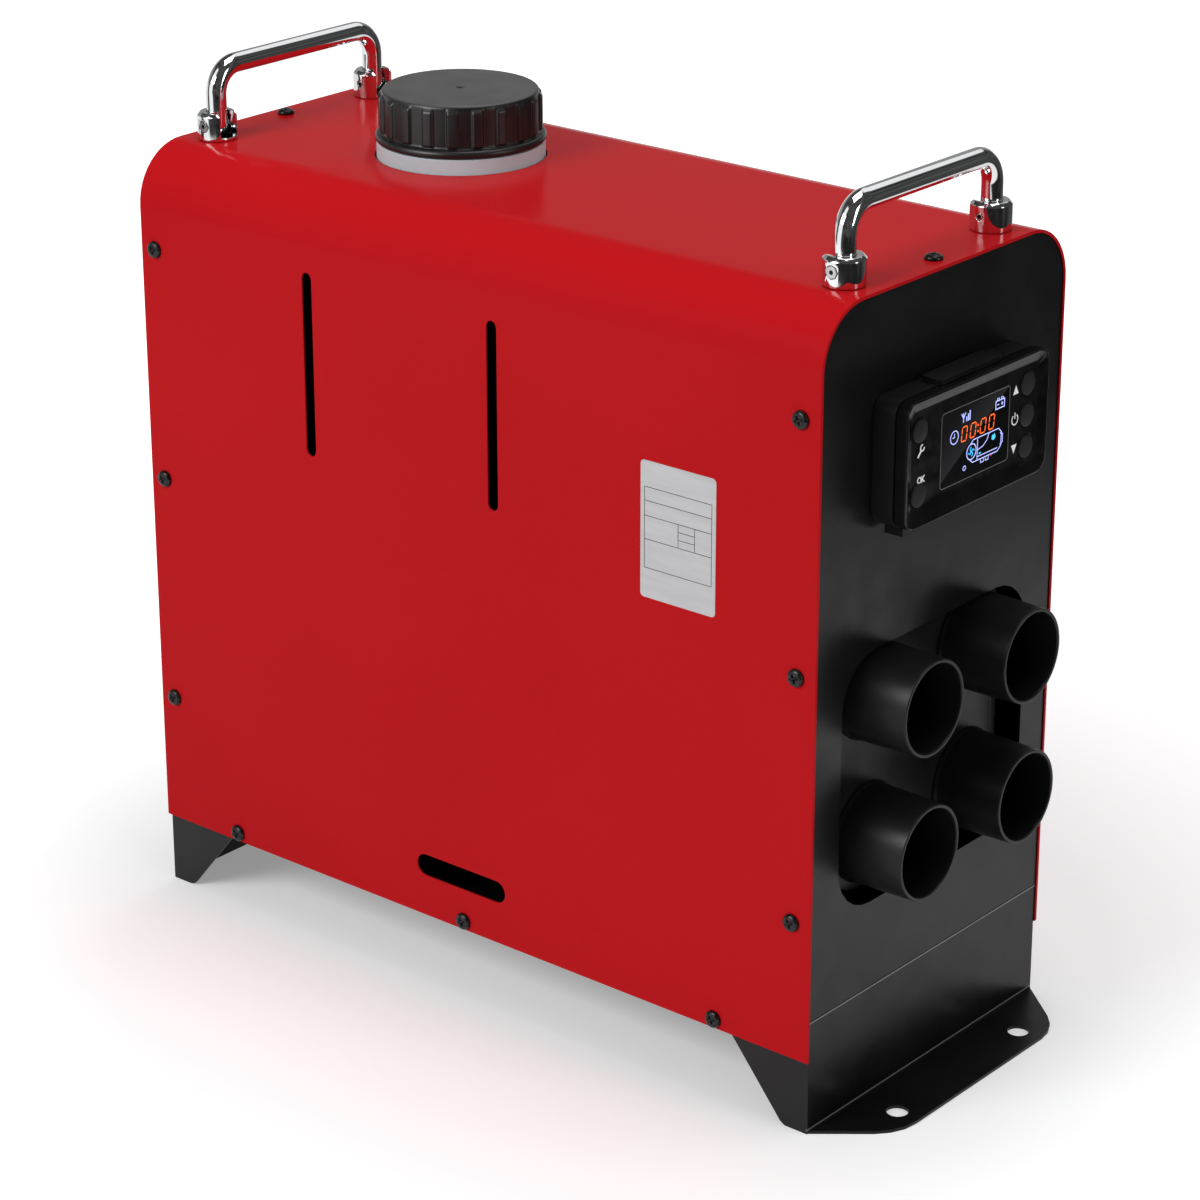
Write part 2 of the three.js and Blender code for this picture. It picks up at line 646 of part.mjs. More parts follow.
function pumpHose() {
  const { x, y, low } = FILTER;
  return hose(
    [
      [x, y, low - FILTER.stub - GAP],
      [x, y, 140],
      [x, 56, 100],
      [x + 4, 61, 74],
      [x + 18, PUMP.y, PUMP.z],
      [PUMP.rear - GAP, PUMP.y, PUMP.z],
    ],
    12,
  );
}

function burnerHose() {
  const { x, y, z } = FUEL_INLET;
  return hose(
    [
      [PUMP.front + GAP, PUMP.y, PUMP.z],
      [PUMP.front + 6, PUMP.y, PUMP.z],
      [x - 6, PUMP.y + 1, 70],
      [x, PUMP.y + 4, 90],
      [x, PUMP.y + 5, 124],
      [x, PUMP.y + 2, z - 3],
      [x, y + 6, z],
      [x, y + GAP, z],
    ],
    12,
  );
}

// Controller ---------------------------------------------------------------------------------

const panelOutline = (inset, radius = PANEL.radius) =>
  roundedRectangle(0, PANEL.z, PANEL.width - 2 * inset, PANEL.height - 2 * inset, radius);

/** The holder screwed to the end plate, with a spring clip above and a release tab below. */
function controllerCradle() {
  const back = FACE + GAP;
  const tray = prism(panelOutline(0), 'x', back, back + 11, 2);
  const hollow = prism(panelOutline(1.8, 5.5), 'x', back + 2.5, back + 12, 2);
  const high = PANEL.z + PANEL.height / 2;
  const low = PANEL.z - PANEL.height / 2;
  const clip = prism(roundedRectangle(back + 8, 0, 11, 47, 3), 'z', high - 1, high + 2.6, 2);
  const tab = block(back + 3, back + 12.5, -47, -22, low - 4, low + 1);
  const leadHole = rod('x', 6, back - 1, back + 4, [0, 0, LEAD_Z], 12);
  const seat = PANEL.front - PANEL.depth - GAP;
  const bezelRoom = prism(panelOutline(-GAP, PANEL.radius + GAP), 'x', seat, seat + 9, 2);
  return cut(joined(tray, clip, tab), hollow, leadHole, bezelRoom);
}

function controllerCase() {
  const back = FACE + GAP + 2.5 + GAP;
  const front = PANEL.front - PANEL.depth - GAP;
  const body = prism(panelOutline(2.1, 5.2), 'x', back, front, 2);
  const hollow = prism(panelOutline(3.7, 3.6), 'x', back + 1.6, front + 1, 2);
  const leadHole = rod('x', 5, back - 1, back + 3, [0, 0, LEAD_Z], 12);
  return cut(body, hollow, leadHole);
}

/** The circuit board, with the display module standing on it and a switch under each button. */
function displayBoard() {
  const board = prism(panelOutline(5, 2), 'x', BOARD_FRONT - 1.6, BOARD_FRONT, 2);
  const [halfWidth, halfHeight] = [DISPLAY.width / 2 + 1.5, DISPLAY.height / 2 + 1.5];
  const module = block(
    BOARD_FRONT - 0.5,
    PANEL.front - 4,
    -halfWidth,
    halfWidth,
    PANEL.z - halfHeight,
    PANEL.z + halfHeight,
  );
  return joined(board, module);
}

function displayWindow() {
  const [halfWidth, halfHeight] = [DISPLAY.width / 2 - GAP, DISPLAY.height / 2 - GAP];
  const front = PANEL.front - PANEL_FACE.recess;
  return block(front - 1.8, front, -halfWidth, halfWidth, PANEL.z - halfHeight, PANEL.z + halfHeight);
}

/** The front frame: a thin rim, a sloping band, and a recessed face with the display and button openings. */
function controllerBezel() {
  const body = prism(panelOutline(0), 'x', PANEL.front - PANEL.depth, PANEL.front, 2);
  const slope = (PANEL_FACE.chamfer - PANEL_FACE.rim) / PANEL_FACE.recess;
  const recess = tapered(
    panelOutline(PANEL_FACE.chamfer, PANEL_FACE.radius),
    panelOutline(PANEL_FACE.rim - slope, PANEL.radius),
    PANEL.front - PANEL_FACE.recess,
    PANEL.front + 1,
  );
  const hollow = prism(panelOutline(3.4, 3.6), 'x', PANEL.front - 6.5, PANEL.front - 3.2, 2);
  const { width, height } = DISPLAY;
  const [y, z] = [width / 2, height / 2];
  const opening = block(PANEL.front - 8, PANEL.front + 1, -y, y, PANEL.z - z, PANEL.z + z);
  const buttonHoles = Object.values(BUTTON_PLACES).map(([by, bz]) =>
    rod('x', BUTTON.radius + GAP, PANEL.front - 8, PANEL.front + 1, [0, by, bz], 14),
  );
  return cut(body, recess, hollow, opening, buttonHoles);
}

/** A button with a domed face and a flange that keeps it behind the face. */
function button([y, z]) {
  const flange = { back: PANEL.front - 5.2, front: PANEL.front - 3.5 };
  const profile = [
    [0, flange.back],
    [BUTTON.flangeRadius, flange.back],
    [BUTTON.flangeRadius, flange.front],
    [BUTTON.radius, flange.front],
    [BUTTON.radius, BUTTON.face - 0.5],
    [BUTTON.radius - 0.8, BUTTON.face],
    [0, BUTTON.face + 0.2],
  ];
  return turned(profile, 'x', [0, y, z], 12);
}

// Outlets ------------------------------------------------------------------------------------

const NOZZLE_CENTRES = NOZZLE.zs.flatMap((z) => [[-NOZZLE.y, z], [NOZZLE.y, z]]);

/** The hollow box that splits the warm air between the four outlets. */
function outletPlenum() {
  const { back, front, halfWidth, low, high, wall, radius } = PLENUM;
  const section = (inset) =>
    roundedRectangle(0, (low + high) / 2, 2 * (halfWidth - inset), high - low - 2 * inset, radius - inset);
  const body = prism(section(0), 'x', back, front, 2);
  const hollow = prism(section(wall), 'x', back + wall, front - wall, 2);
  const outlets = NOZZLE_CENTRES.map(([y, z]) =>
    rod('x', OUTLET_HOLE_RADIUS, front - wall - 1, front + 1, [0, y, z], 16),
  );
  const inlet = rod('x', CORE.outlet, back - 1, back + wall + 1, [0, 0, CORE.z], 20);
  return cut(body, hollow, outlets, inlet);
}

/** A slightly tapered round outlet that flares where it seats. */
function outletNozzle([y, z]) {
  const back = PLENUM.front + GAP;
  const { mouthX, mouthRadius, baseRadius, wall } = NOZZLE;
  const profile = [
    [baseRadius - wall, back],
    [baseRadius + 1.6, back],
    [baseRadius, back + 3],
    [mouthRadius, mouthX],
    [mouthRadius - wall, mouthX],
  ];
  return turned(profile, 'x', [0, y, z], 26);
}

// Heater core --------------------------------------------------------------------------------

/** The duct round the fan, burner and exchanger, before it is split into its two halves. */
function coreDuct() {
  const { z, half, rear, front, wall, radius } = CORE;
  const section = (inset) => roundedRectangle(0, z, 2 * (half - inset), 2 * (half - inset), radius - inset);
  const body = prism(section(0), 'x', rear, front, 2);
  const collar = rod('x', CORE.collar, front - 1, PLENUM.back - GAP, [0, 0, z], 20);
  const hollow = prism(section(wall), 'x', rear + wall, front - wall, 2);
  const inlet = rod('x', FAN.tip + 2, rear - 1, rear + wall + 1, [0, 0, z], 20);
  const outlet = rod('x', CORE.outlet, front - wall - 1, PLENUM.back, [0, 0, z], 20);
  const pipePorts = [EXHAUST_X, INTAKE_X].map((x) => rod('z', 13.5, z - half - 1, z - half + 8, [x, 0, 0], 12));
  const fuelPort = rod('y', 4.5, half - 5, half + 2, [FUEL_INLET.x, 0, FUEL_INLET.z], 8);
  return cut(joined(body, collar), hollow, inlet, outlet, pipePorts, fuelPort);
}

function coreHalf(upper) {
  const { z, half, rear } = CORE;
  const [z0, z1] = upper ? [z + GAP / 2, z + half + 2] : [z - half - 2, z - GAP / 2];
  return coreDuct().intersect(block(rear - 5, PLENUM.back + 5, -half - 5, half + 5, z0, z1));
}

/** A finned aluminium casting: a closed cup with long radial fins, standing on its exhaust port. */
function heatExchanger() {
  const { rear, front, radius, bore, flange, finRadius, fins } = EXCHANGER;
  const { thickness, taper } = FLOOR_PLATE;
  const floorInside = [
    [bore, front - thickness - taper],
    [bore - taper, front - thickness],
    [0, front - thickness],
  ];
  const centre = [0, 0, CORE.z];
  const cup = turned(
    [
      [bore, rear],
      [flange, rear],
      [flange, rear + 4],
      [radius, rear + 6],
      [radius, front - 12],
      [radius - 10, front],
      [0, front],
      ...floorInside.toReversed(),
      [bore, rear],
    ],
    'x',
    centre,
    18,
  );
  const pitch = (2 * Math.PI) / fins;
  const finHalfAngle = 1 / finRadius;
  const rootHalfAngle = 1.3 / radius;
  const at = (r, angle) => new THREE.Vector2(r * Math.sin(angle), CORE.z + r * Math.cos(angle));
  const outline = [];
  for (let i = 1; i < fins; i += 1) {
    const angle = i * pitch;
    outline.push(at(radius - 1, angle - rootHalfAngle), at(finRadius, angle - finHalfAngle));
    outline.push(at(finRadius, angle + finHalfAngle), at(radius - 1, angle + rootHalfAngle));
  }
  const finned = prism(new THREE.Shape(outline), 'x', -10, front - 14);
  const floor = CORE.z - CORE.half + CORE.wall + GAP;
  const port = rod('z', PIPE.exhaust, PORT_END, CORE.z - bore, [EXHAUST_X, 0, 0], 12);
  const pad = block(EXHAUST_X - 17, EXHAUST_X + 17, -24, 24, floor, floor + 5);
  const cavity = turned([[0, rear - 1], [bore, rear - 1], ...floorInside], 'x', centre, 18);
  const portBore = rod('z', PIPE.exhaust - 3, PORT_END - 1, CORE.z - 20, [EXHAUST_X, 0, 0], 12);
  const plugBore = rod('z', 4, CORE.z + 20, CORE.z + radius + 8, [GLOW_X, 0, 0], 8);
  return cut(joined(cup, finned, port, pad), cavity, portBore, plugBore);
}

/** A flanged tube with rings of air holes, where the fuel burns. */
function burnerTube() {
  const { radius, wall, front } = BURNER;
  const rear = EXCHANGER.rear;
  const body = turned(
    [
      [radius - wall, rear],
      [radius + 5, rear],
      [radius + 5, rear + 2],
      [radius, rear + 3],
      [radius, front],
      [radius - wall, front],
    ],
    'x',
    [0, 0, CORE.z],
    16,
  );
  const plugHole = rod('z', 5, CORE.z + 10, CORE.z + 30, [GLOW_X, 0, 0], 8);
  const holes = [0, 60, 120].map((degrees) =>
    spun(new THREE.CylinderGeometry(3.5, 3.5, 60, 6), 'x', degrees, [22, 0, CORE.z]),
  );
  return cut(body, plugHole, holes);
}

/** The cast housing of the combustion-air fan, with its intake port and fuel spigot. */
function combustionHousing() {
  const { rear, radius, chamber, backWall, eye } = COMBUSTION;
  const front = EXCHANGER.rear - GAP;
  const body = turned(
    [
      [eye, front],
      [EXCHANGER.flange, front],
      [EXCHANGER.flange, front - 4],
      [radius, front - 4],
      [radius, rear],
      [chamber, rear],
      [chamber, front - backWall],
      [eye, front - backWall],
    ],
    'x',
    [0, 0, CORE.z],
    18,
  );
  const port = rod('z', PIPE.intake, PORT_END, CORE.z - chamber - 2, [INTAKE_X, 0, 0], 12);
  const spigot = rod('y', STUB_RADIUS, 32, FUEL_INLET.y, [FUEL_INLET.x, 0, FUEL_INLET.z], 8);
  const hollow = rod('x', chamber, rear - 1, front - backWall, [0, 0, CORE.z], 18);
  const portBore = rod('z', PIPE.intake - 3, PORT_END - 1, CORE.z - 30, [INTAKE_X, 0, 0], 12);
  return cut(joined(body, port, spigot), hollow, portBore);
}

function glowPlug() {
  const seat = CORE.z + EXCHANGER.radius + GAP;
  const profile = [
    [0, CORE.z + 15],
    [2.5, CORE.z + 15],
    [3.5, CORE.z + 24],
    [3.5, seat],
    [6.5, seat],
    [6.5, seat + 5],
    [2.5, seat + 5],
    [2.5, seat + 11],
    [0, seat + 11],
  ];
  return turned(profile, 'z', [GLOW_X, 0, 0], 8);
}

function fanMotor() {
  const { rear, front, radius, flange } = MOTOR;
  const bore = SHAFT_RADIUS + GAP;
  const profile = [
    [bore, rear - 4],
    [9, rear - 4],
    [9, rear],
    [radius - 3, rear],
    [radius, rear + 3],
    [radius, front - 3],
    [flange, front - 3],
    [flange, front],
    [bore, front],
  ];
  return turned(profile, 'x', [0, 0, CORE.z], 14);
}

const fanShaft = () => rod('x', SHAFT_RADIUS, FAN.x - 13, -46, [0, 0, CORE.z], 16);

/** One twisted fan blade, lofted from root to tip: flatter and thinner towards the tip. */
function fanBlade(turn) {
  const stations = 3;
  const positions = [];
  for (let i = 0; i < stations; i += 1) {
    const share = i / (stations - 1);
    const radius = THREE.MathUtils.lerp(FAN.hub - 2, FAN.tip, share);
    const pitch = THREE.MathUtils.degToRad(THREE.MathUtils.lerp(58, 32, share));
    const halfThickness = THREE.MathUtils.lerp(1.1, 0.7, share);
    for (const [along, across] of [[-1, -1], [1, -1], [1, 1], [-1, 1]]) {
      const chordwise = (along * FAN.chord) / 2;
      const thick = across * halfThickness;
      positions.push(
        FAN.x + chordwise * Math.sin(pitch) + thick * Math.cos(pitch),
        chordwise * Math.cos(pitch) - thick * Math.sin(pitch),
        radius,
      );
    }
  }
  const faces = [[0, 1, 2], [0, 2, 3]];
  const last = 4 * (stations - 1);
  faces.push([last, last + 2, last + 1], [last, last + 3, last + 2]);
  for (let i = 0; i < stations - 1; i += 1) {
    for (let k = 0; k < 4; k += 1) {
      const [a, b] = [4 * i + k, 4 * i + ((k + 1) % 4)];
      faces.push([a, a + 4, b + 4], [a, b + 4, b]);
    }
  }
  const geometry = new THREE.BufferGeometry();
  geometry.setAttribute('position', new THREE.Float32BufferAttribute(positions, 3));
  geometry.setIndex(faces.flat());
  return spun(geometry, 'x', turn, [0, 0, CORE.z]);
}

function airImpeller() {
  const centre = [0, 0, CORE.z];
  const hub = turned(
    [[0, FAN.x - 12], [FAN.hub - 5, FAN.x - 12], [FAN.hub, FAN.x - 7], [FAN.hub, FAN.x + 11], [0, FAN.x + 11]],
    'x',
    centre,
    20,
  );
  const blades = Array.from({ length: FAN.blades }, (_, i) => fanBlade((360 / FAN.blades) * i));
  const bore = rod('x', SHAFT_RADIUS + GAP, FAN.x - 15, FAN.x + 15, centre, 16);
  return cut(joined(hub, blades), bore);
}

/** A back plate with straight radial vanes, which feeds the flame. */
function combustionImpeller() {
  const centre = [0, 0, CORE.z];
  const { count, rear, plate, radius, hub, thickness } = VANES;
  const disc = rod('x', radius, ...plate, centre, 20);
  const boss = rod('x', hub, rear, plate[1], centre, 10);
  const [inside, outside] = [hub - 1, radius - 0.5];
  const [x0, x1] = [rear, plate[0] + 0.5];
  const vanes = Array.from({ length: count }, (_, i) => {
    const vane = new THREE.BoxGeometry(x1 - x0, thickness, outside - inside);
    vane.translate((x0 + x1) / 2, 0, (inside + outside) / 2);
    return spun(vane, 'x', (360 / count) * i, [0, 0, CORE.z]);
  });
  const bore = rod('x', SHAFT_RADIUS + GAP, rear - 2, plate[1] + 1, centre, 16);
  return cut(joined(disc, boss, vanes), bore);
}

function controlUnit() {
  const top = CORE.z + CORE.half - CORE.wall - GAP;
  return prism(roundedRectangle(0, top - 8, 58, 16, 3), 'x', MOTOR.rear, MOTOR.front - 6, 3);
}

function overheatSensor() {
  const seat = CORE.z + EXCHANGER.radius + GAP;
  return joined(block(60, 78, -5.5, 5.5, seat, seat + 4), rod('z', 4, seat + 3, seat + 9, [69, 0, 0], 16));
}

/** A folded stand between the tray and the heater core, with holes for the two pipes. */
function coreStand() {
  const low = TRAY.floor + SHEET + GAP;
  const high = CORE.z - CORE.half - GAP;
  const { rear: x0, front: x1, halfWidth, foot, sheet } = STAND;
  const top = block(x0, x1, -halfWidth, halfWidth, high - sheet, high);
  const sides = [-1, 1].flatMap((side) => {
    const span = (a, b) => [side * a, side * b].sort((p, q) => p - q);
    const leg = block(x0, x1, ...span(halfWidth - sheet, halfWidth), low, high);
    const pad = block(x0, x1, ...span(halfWidth - sheet, halfWidth + foot), low, low + sheet);
    return [leg, pad];
  });
  const middle = (low + high) / 2;
  const windows = STAND_WINDOW.xs.map((x) => {
    const { length, radius, margin } = STAND_WINDOW;
    const outline = roundedRectangle(x, middle, length, high - low - 2 * margin, radius);
    return prism(outline, 'y', -halfWidth - 1, halfWidth + 1, 1);
  });
  return cut(joined(top, sides), windows, pipeHoles(high - 5, high + 1));
}

/** A straight pipe from a port of the core down through the tray. */
function corePipe(x, radius) {
  const [low, high] = [PIPE.low, PORT_END - GAP];
  const [bore, socket] = [radius - PIPE.wall, radius + PIPE.wall];
  const profile = [
    [bore, low],
    [radius, low],
    [radius, high - 10],
    [socket, high - 9],
    [socket, high],
    [bore, high],
  ];
  return turned(profile, 'z', [x, 0, 0], 12);
}

// Assembly -----------------------------------------------------------------------------------

const heater = new THREE.Group();

function add(name, body, material) {
  const mesh = new THREE.Mesh(geometryOf(body), material());
  mesh.name = name;
  heater.add(mesh);
}

add('outer_shell', outerShell(), redPaint);
add('front_end_plate', frontEndPlate(), blackPaint);
add('rear_end_plate', rearEndPlate(), blackPaint);
add('inlet_guard', inletGuard(), blackPlastic);
add('power_gland', powerGland(), rubber);
add('front_foot', frontFoot(), blackPaint);
add('rear_foot', rearFoot(), blackPaint);
add('base_tray', baseTray(), blackPaint);

for (const [where, end] of [['front', 1], ['rear', -1]]) {
  for (const [which, side] of [['near', -1], ['far', 1]]) {
    add(`${where}_${which}_handle_post`, handlePost(end, side), chrome);
    add(`${where}_${which}_handle_pin`, handlePin(end, side), steel);
  }
  add(`${where}_handle`, handleBar(end), chrome);
}

add('fuel_tank', fuelTank(), blackPlastic);
add('neck_collar', neckCollar(), whitePlastic);
add('tank_shelf', tankShelf(), steel);
add('cap_seal', capSeal(), rubber);
add('fuel_cap', fuelCap(), blackPlastic);
add('fuel_filter', fuelFilter(), whitePlastic);
add('fuel_pump', fuelPump(), steel);
add('pump_clip', pumpClip(), rubber);
add('tank_hose', tankHose(), rubber);
add('pump_hose', pumpHose(), rubber);
add('burner_hose', burnerHose(), rubber);

add('controller_cradle', controllerCradle(), blackPlastic);
add('controller_case', controllerCase(), blackPlastic);
add('display_board', displayBoard(), circuitBoard);
add('display_window', displayWindow(), glass);
add('controller_bezel', controllerBezel(), glossPlastic);
Object.entries(BUTTON_PLACES).forEach(([name, place]) => add(name, button(place), rubber));

add('outlet_plenum', outletPlenum(), blackPlastic);
NOZZLE_CENTRES.forEach((centre, i) => add(`outlet_nozzle_${i + 1}`, outletNozzle(centre), blackPlastic));

add('core_lower_half', coreHalf(false), blackPlastic);
add('core_upper_half', coreHalf(true), blackPlastic);
add('heat_exchanger', heatExchanger(), aluminium);
add('burner_tube', burnerTube(), steel);
add('combustion_housing', combustionHousing(), aluminium);
add('glow_plug', glowPlug(), steel);
add('fan_motor', fanMotor(), steel);
add('fan_shaft', fanShaft(), steel);
add('air_impeller', airImpeller(), blackPlastic);
add('combustion_impeller', combustionImpeller(), aluminium);
add('control_unit', controlUnit(), blackPlastic);
add('overheat_sensor', overheatSensor(), steel);
add('core_stand', coreStand(), steel);
add('exhaust_pipe', corePipe(EXHAUST_X, PIPE.exhaust), steel);
add('intake_pipe', corePipe(INTAKE_X, PIPE.intake), rubber);

// The origin stands under the middle of the whole heater, flange included.
heater.position.x = (HALF - FOOT.reach) / 2;

export default heater;
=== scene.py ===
"""Diesel air heater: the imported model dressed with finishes, smooth turned pieces, screws, label and display.

Lengths are in metres in the model's own frame: +X towards the warm-air outlets, +Y across the case, +Z up.
"""
import math

import bmesh
import bpy
import numpy as np
from mathutils import Matrix, Vector


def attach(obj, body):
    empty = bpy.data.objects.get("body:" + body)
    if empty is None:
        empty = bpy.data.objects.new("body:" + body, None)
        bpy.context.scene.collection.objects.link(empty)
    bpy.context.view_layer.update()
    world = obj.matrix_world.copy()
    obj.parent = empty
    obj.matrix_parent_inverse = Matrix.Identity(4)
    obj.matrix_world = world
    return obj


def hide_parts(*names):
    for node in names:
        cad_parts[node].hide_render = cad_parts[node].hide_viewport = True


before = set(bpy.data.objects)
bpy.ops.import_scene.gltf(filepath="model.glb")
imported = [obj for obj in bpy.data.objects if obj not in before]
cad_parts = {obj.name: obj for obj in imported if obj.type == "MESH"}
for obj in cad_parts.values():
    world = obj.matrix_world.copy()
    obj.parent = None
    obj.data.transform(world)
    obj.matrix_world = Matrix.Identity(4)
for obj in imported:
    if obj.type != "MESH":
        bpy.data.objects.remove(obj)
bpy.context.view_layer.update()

MM = 0.001
MIDDLE = -15.5 * MM  # the case's middle stands this far behind the origin

ENAMEL_SHINE = 0.03
POWDER_SHINE = 0.25
NOISE_MIDDLE = (0.35, 0.65)  # the part of a noise's range that its finish spreads over nought to one

# Sizes of the case, in metres ---------------------------------------------------------------------

SIDE_Y = 90 * MM
TOP_Z = 380 * MM
BEND_RADIUS = 28 * MM
SHEET = 1.5 * MM
SHELL_END = 200 * MM  # the shell's end edges, from the case's middle
FACE_X = 199.4 * MM  # the end plates' and the feet's faces, from the case's middle
SEAM_Z = 55.2 * MM  # where the end plate meets the foot
WING_Y = SIDE_Y - 1.8 * MM  # the feet's wings stand just inside the shell's sheet
WING_TOP_Z = 52 * MM

SCREW_HEAD_RADIUS = 4.1 * MM
SCREW_HEAD_HEIGHT = 2.3 * MM
RECESS_TURN = math.radians(25)
RECESS_ARM = (0.5 * MM, 2.3 * MM)  # half the width and half the length of one bar of the cross
SIDE_SCREWS = [(-191, 332), (-191, 217), (-191, 102), (190, 332), (190, 217), (190, 102)]
BOTTOM_SCREWS = [(-150, 40.5), (-1, 40.5), (148, 40.5)]
TOP_SCREWS_X = [-191, 191]

LABEL_X = (105.2 * MM, 146.3 * MM)
LABEL_Z = (232.6 * MM, 295.6 * MM)

CAP_X = MIDDLE - 77 * MM
CAP_RIBS = 20
CAP_TOP_Z = 411.5 * MM
RIB_DEPTH = 1.4 * MM
RIB_LOW_Z = 391.6 * MM
RIB_HIGH_Z = 409.3 * MM

HANDLE_X = 183.5 * MM
HANDLE_Y = 53.5 * MM
BAR_RADIUS = 4.9 * MM
PIVOT_Z = 387.2 * MM
BAR_TOP_Z = 414 * MM
BAR_BEND = 13 * MM
BAR_END_RINGS = 8

PANEL_Z = 305.5 * MM
PANEL_FACE_X = MIDDLE + 215.4 * MM
PRINT_THICKNESS = 0.04 * MM
DIGIT_LEAN = 0.12
DIGIT_BAR = 0.27  # half a bar's width, in the panel drawing's millimetres
DIGIT_GAP = 0.2

NOZZLE_CENTRES = [(-37.4, 194.8), (37.4, 194.8), (-37.4, 126.4), (37.4, 126.4)]


# Meshes -------------------------------------------------------------------------------------------

def quads(rings, columns, closed=False):
    """Corner numbers of every cell of a stack of rings: each cell joins a point to its right, upper right and
    upper neighbour, where a ring's last point joins its first and, when closed, the last ring the first."""
    r = np.arange(rings if closed else rings - 1)[:, None]
    c = np.arange(columns)[None, :]
    up, right = (r + 1) % rings, (c + 1) % columns
    cells = [r * columns + c, r * columns + right, up * columns + right, up * columns + c]
    return np.stack(np.broadcast_arrays(*cells), -1).reshape(-1, 4)


def piece(name, points, faces, material, body="root", slot=None, stands_for=(), smooth=True):
    """A mesh from points and faces, with doubled points merged and its faces turned outward, on one body."""
    mesh = bpy.data.meshes.new(name)
    mesh.from_pydata(np.asarray(points).reshape(-1, 3).tolist(), [], [list(map(int, f)) for f in faces])
    work = bmesh.new()
    work.from_mesh(mesh)
    bmesh.ops.remove_doubles(work, verts=work.verts, dist=2e-6)
    bmesh.ops.dissolve_degenerate(work, edges=work.edges, dist=1e-7)
    bmesh.ops.recalc_face_normals(work, faces=work.faces)
    work.to_mesh(mesh)
    work.free()
    mesh.polygons.foreach_set("use_smooth", np.full(len(mesh.polygons), smooth))
    made = bpy.data.objects.new(name, mesh)
    bpy.context.scene.collection.objects.link(made)
    mesh.materials.append(material)
    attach(made, body)
    if stands_for:
        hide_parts(*stands_for)
    return made


def rounded(profile, radius, steps=4):
    """A profile whose inner corners are replaced by parabolic arcs: each arc leaves the line a radius before
    the corner (at most 45 % of the line) and blends the two lines' points with quadratic weights."""
    profile = np.asarray(profile, float)
    before, here, after = profile[:-2], profile[1:-1], profile[2:]
    back, ahead = before - here, after - here
    back_length = np.linalg.norm(back, axis=1, keepdims=True)
    ahead_length = np.linalg.norm(ahead, axis=1, keepdims=True)
    start = here + back / back_length * np.minimum(radius, 0.45 * back_length)
    end = here + ahead / ahead_length * np.minimum(radius, 0.45 * ahead_length)
    t = np.linspace(0, 1, steps + 1)[None, :, None]
    arcs = (1 - t) ** 2 * start[:, None] + 2 * t * (1 - t) * here[:, None] + t**2 * end[:, None]
    return np.vstack([profile[:1], arcs.reshape(-1, profile.shape[1]), profile[-1:]])


AXES = {"x": (1, 2, 0), "z": (0, 1, 2)}  # the two directions across each axis, and the one along it


def turned(profile, axis, centre, sides, swell=None):
    """Points of a profile of (radius, station) carried round an axis: at turn t a point stands at
    (radius cos t, radius sin t) across the axis and at its station along it. swell(t, station) adds to
    the radius."""
    profile = np.asarray(profile, float)
    turn = np.linspace(0, 2 * np.pi, sides, endpoint=False)[None, :]
    radius = profile[:, :1] + np.zeros_like(turn)
    station = profile[:, 1:] + np.zeros_like(turn)
    if swell is not None:
        radius = radius + swell(turn, station)
    points = np.zeros(radius.shape + (3,))
    across, up, along = AXES[axis]
    points[..., across] = centre[across] + radius * np.cos(turn)
    points[..., up] = centre[up] + radius * np.sin(turn)
    points[..., along] = centre[along] + station
    return points


def turned_piece(name, profile, axis, centre, material, sides, swell=None, **more):
    """A turned surface as a piece, whose profile is closed: its last point joins its first."""
    points = turned(profile, axis, centre, sides, swell)
    return piece(name, points, quads(len(points), sides, closed=True), material, **more)


def swept_bar(path, radius, sides=32):
    """Points of a round bar along a path that lies in one X plane: the ring at each path point is spanned
    by the X axis and the path's normal, the tangent turned a quarter turn in that plane."""
    path = np.asarray(path, float)
    tangent = np.gradient(path, axis=0)
    tangent /= np.linalg.norm(tangent, axis=1, keepdims=True)
    normal = np.cross(tangent, [1.0, 0, 0])
    turn = np.linspace(0, 2 * np.pi, sides, endpoint=False)[None, :, None]
    ring = np.cos(turn) * np.array([1.0, 0, 0]) + np.sin(turn) * normal[:, None]
    return path[:, None] + np.asarray(radius).reshape(-1, 1, 1) * ring


def rounded_outline(y0, y1, z0, z1, radius, steps=8):
    """A rectangle with round corners, as points: each corner's centre plus the radius turned through its
    own quarter."""
    centres = np.array([[y1 - radius, z1 - radius], [y0 + radius, z1 - radius],
                        [y0 + radius, z0 + radius], [y1 - radius, z0 + radius]])
    turn = np.linspace(0, np.pi / 2, steps + 1)[None, :] + np.arange(4)[:, None] * np.pi / 2
    arc = radius * np.stack([np.cos(turn), np.sin(turn)], -1)
    return (centres[:, None] + arc).reshape(-1, 2)


def plates(outlines, place, thickness):
    """Points and faces of thin plates: each flat outline is a front ring and a back ring a thickness apart,
    joined by a wall, with the outline itself as the two end faces. place(a, b, depth) gives a point."""
    points, faces, start = [], [], 0
    for outline in outlines:
        outline = np.asarray(outline, float)
        n = len(outline)
        for depth in (0.0, thickness):
            points.append(place(outline[:, 0], outline[:, 1], np.full(n, depth)))
        ring = np.arange(n)
        wall = np.stack([ring, (ring + 1) % n, (ring + 1) % n + n, ring + n], -1) + start
        faces += wall.tolist()
        faces += [(ring[::-1] + start).tolist(), (ring + n + start).tolist()]
        start += 2 * n
    return np.vstack(points), faces


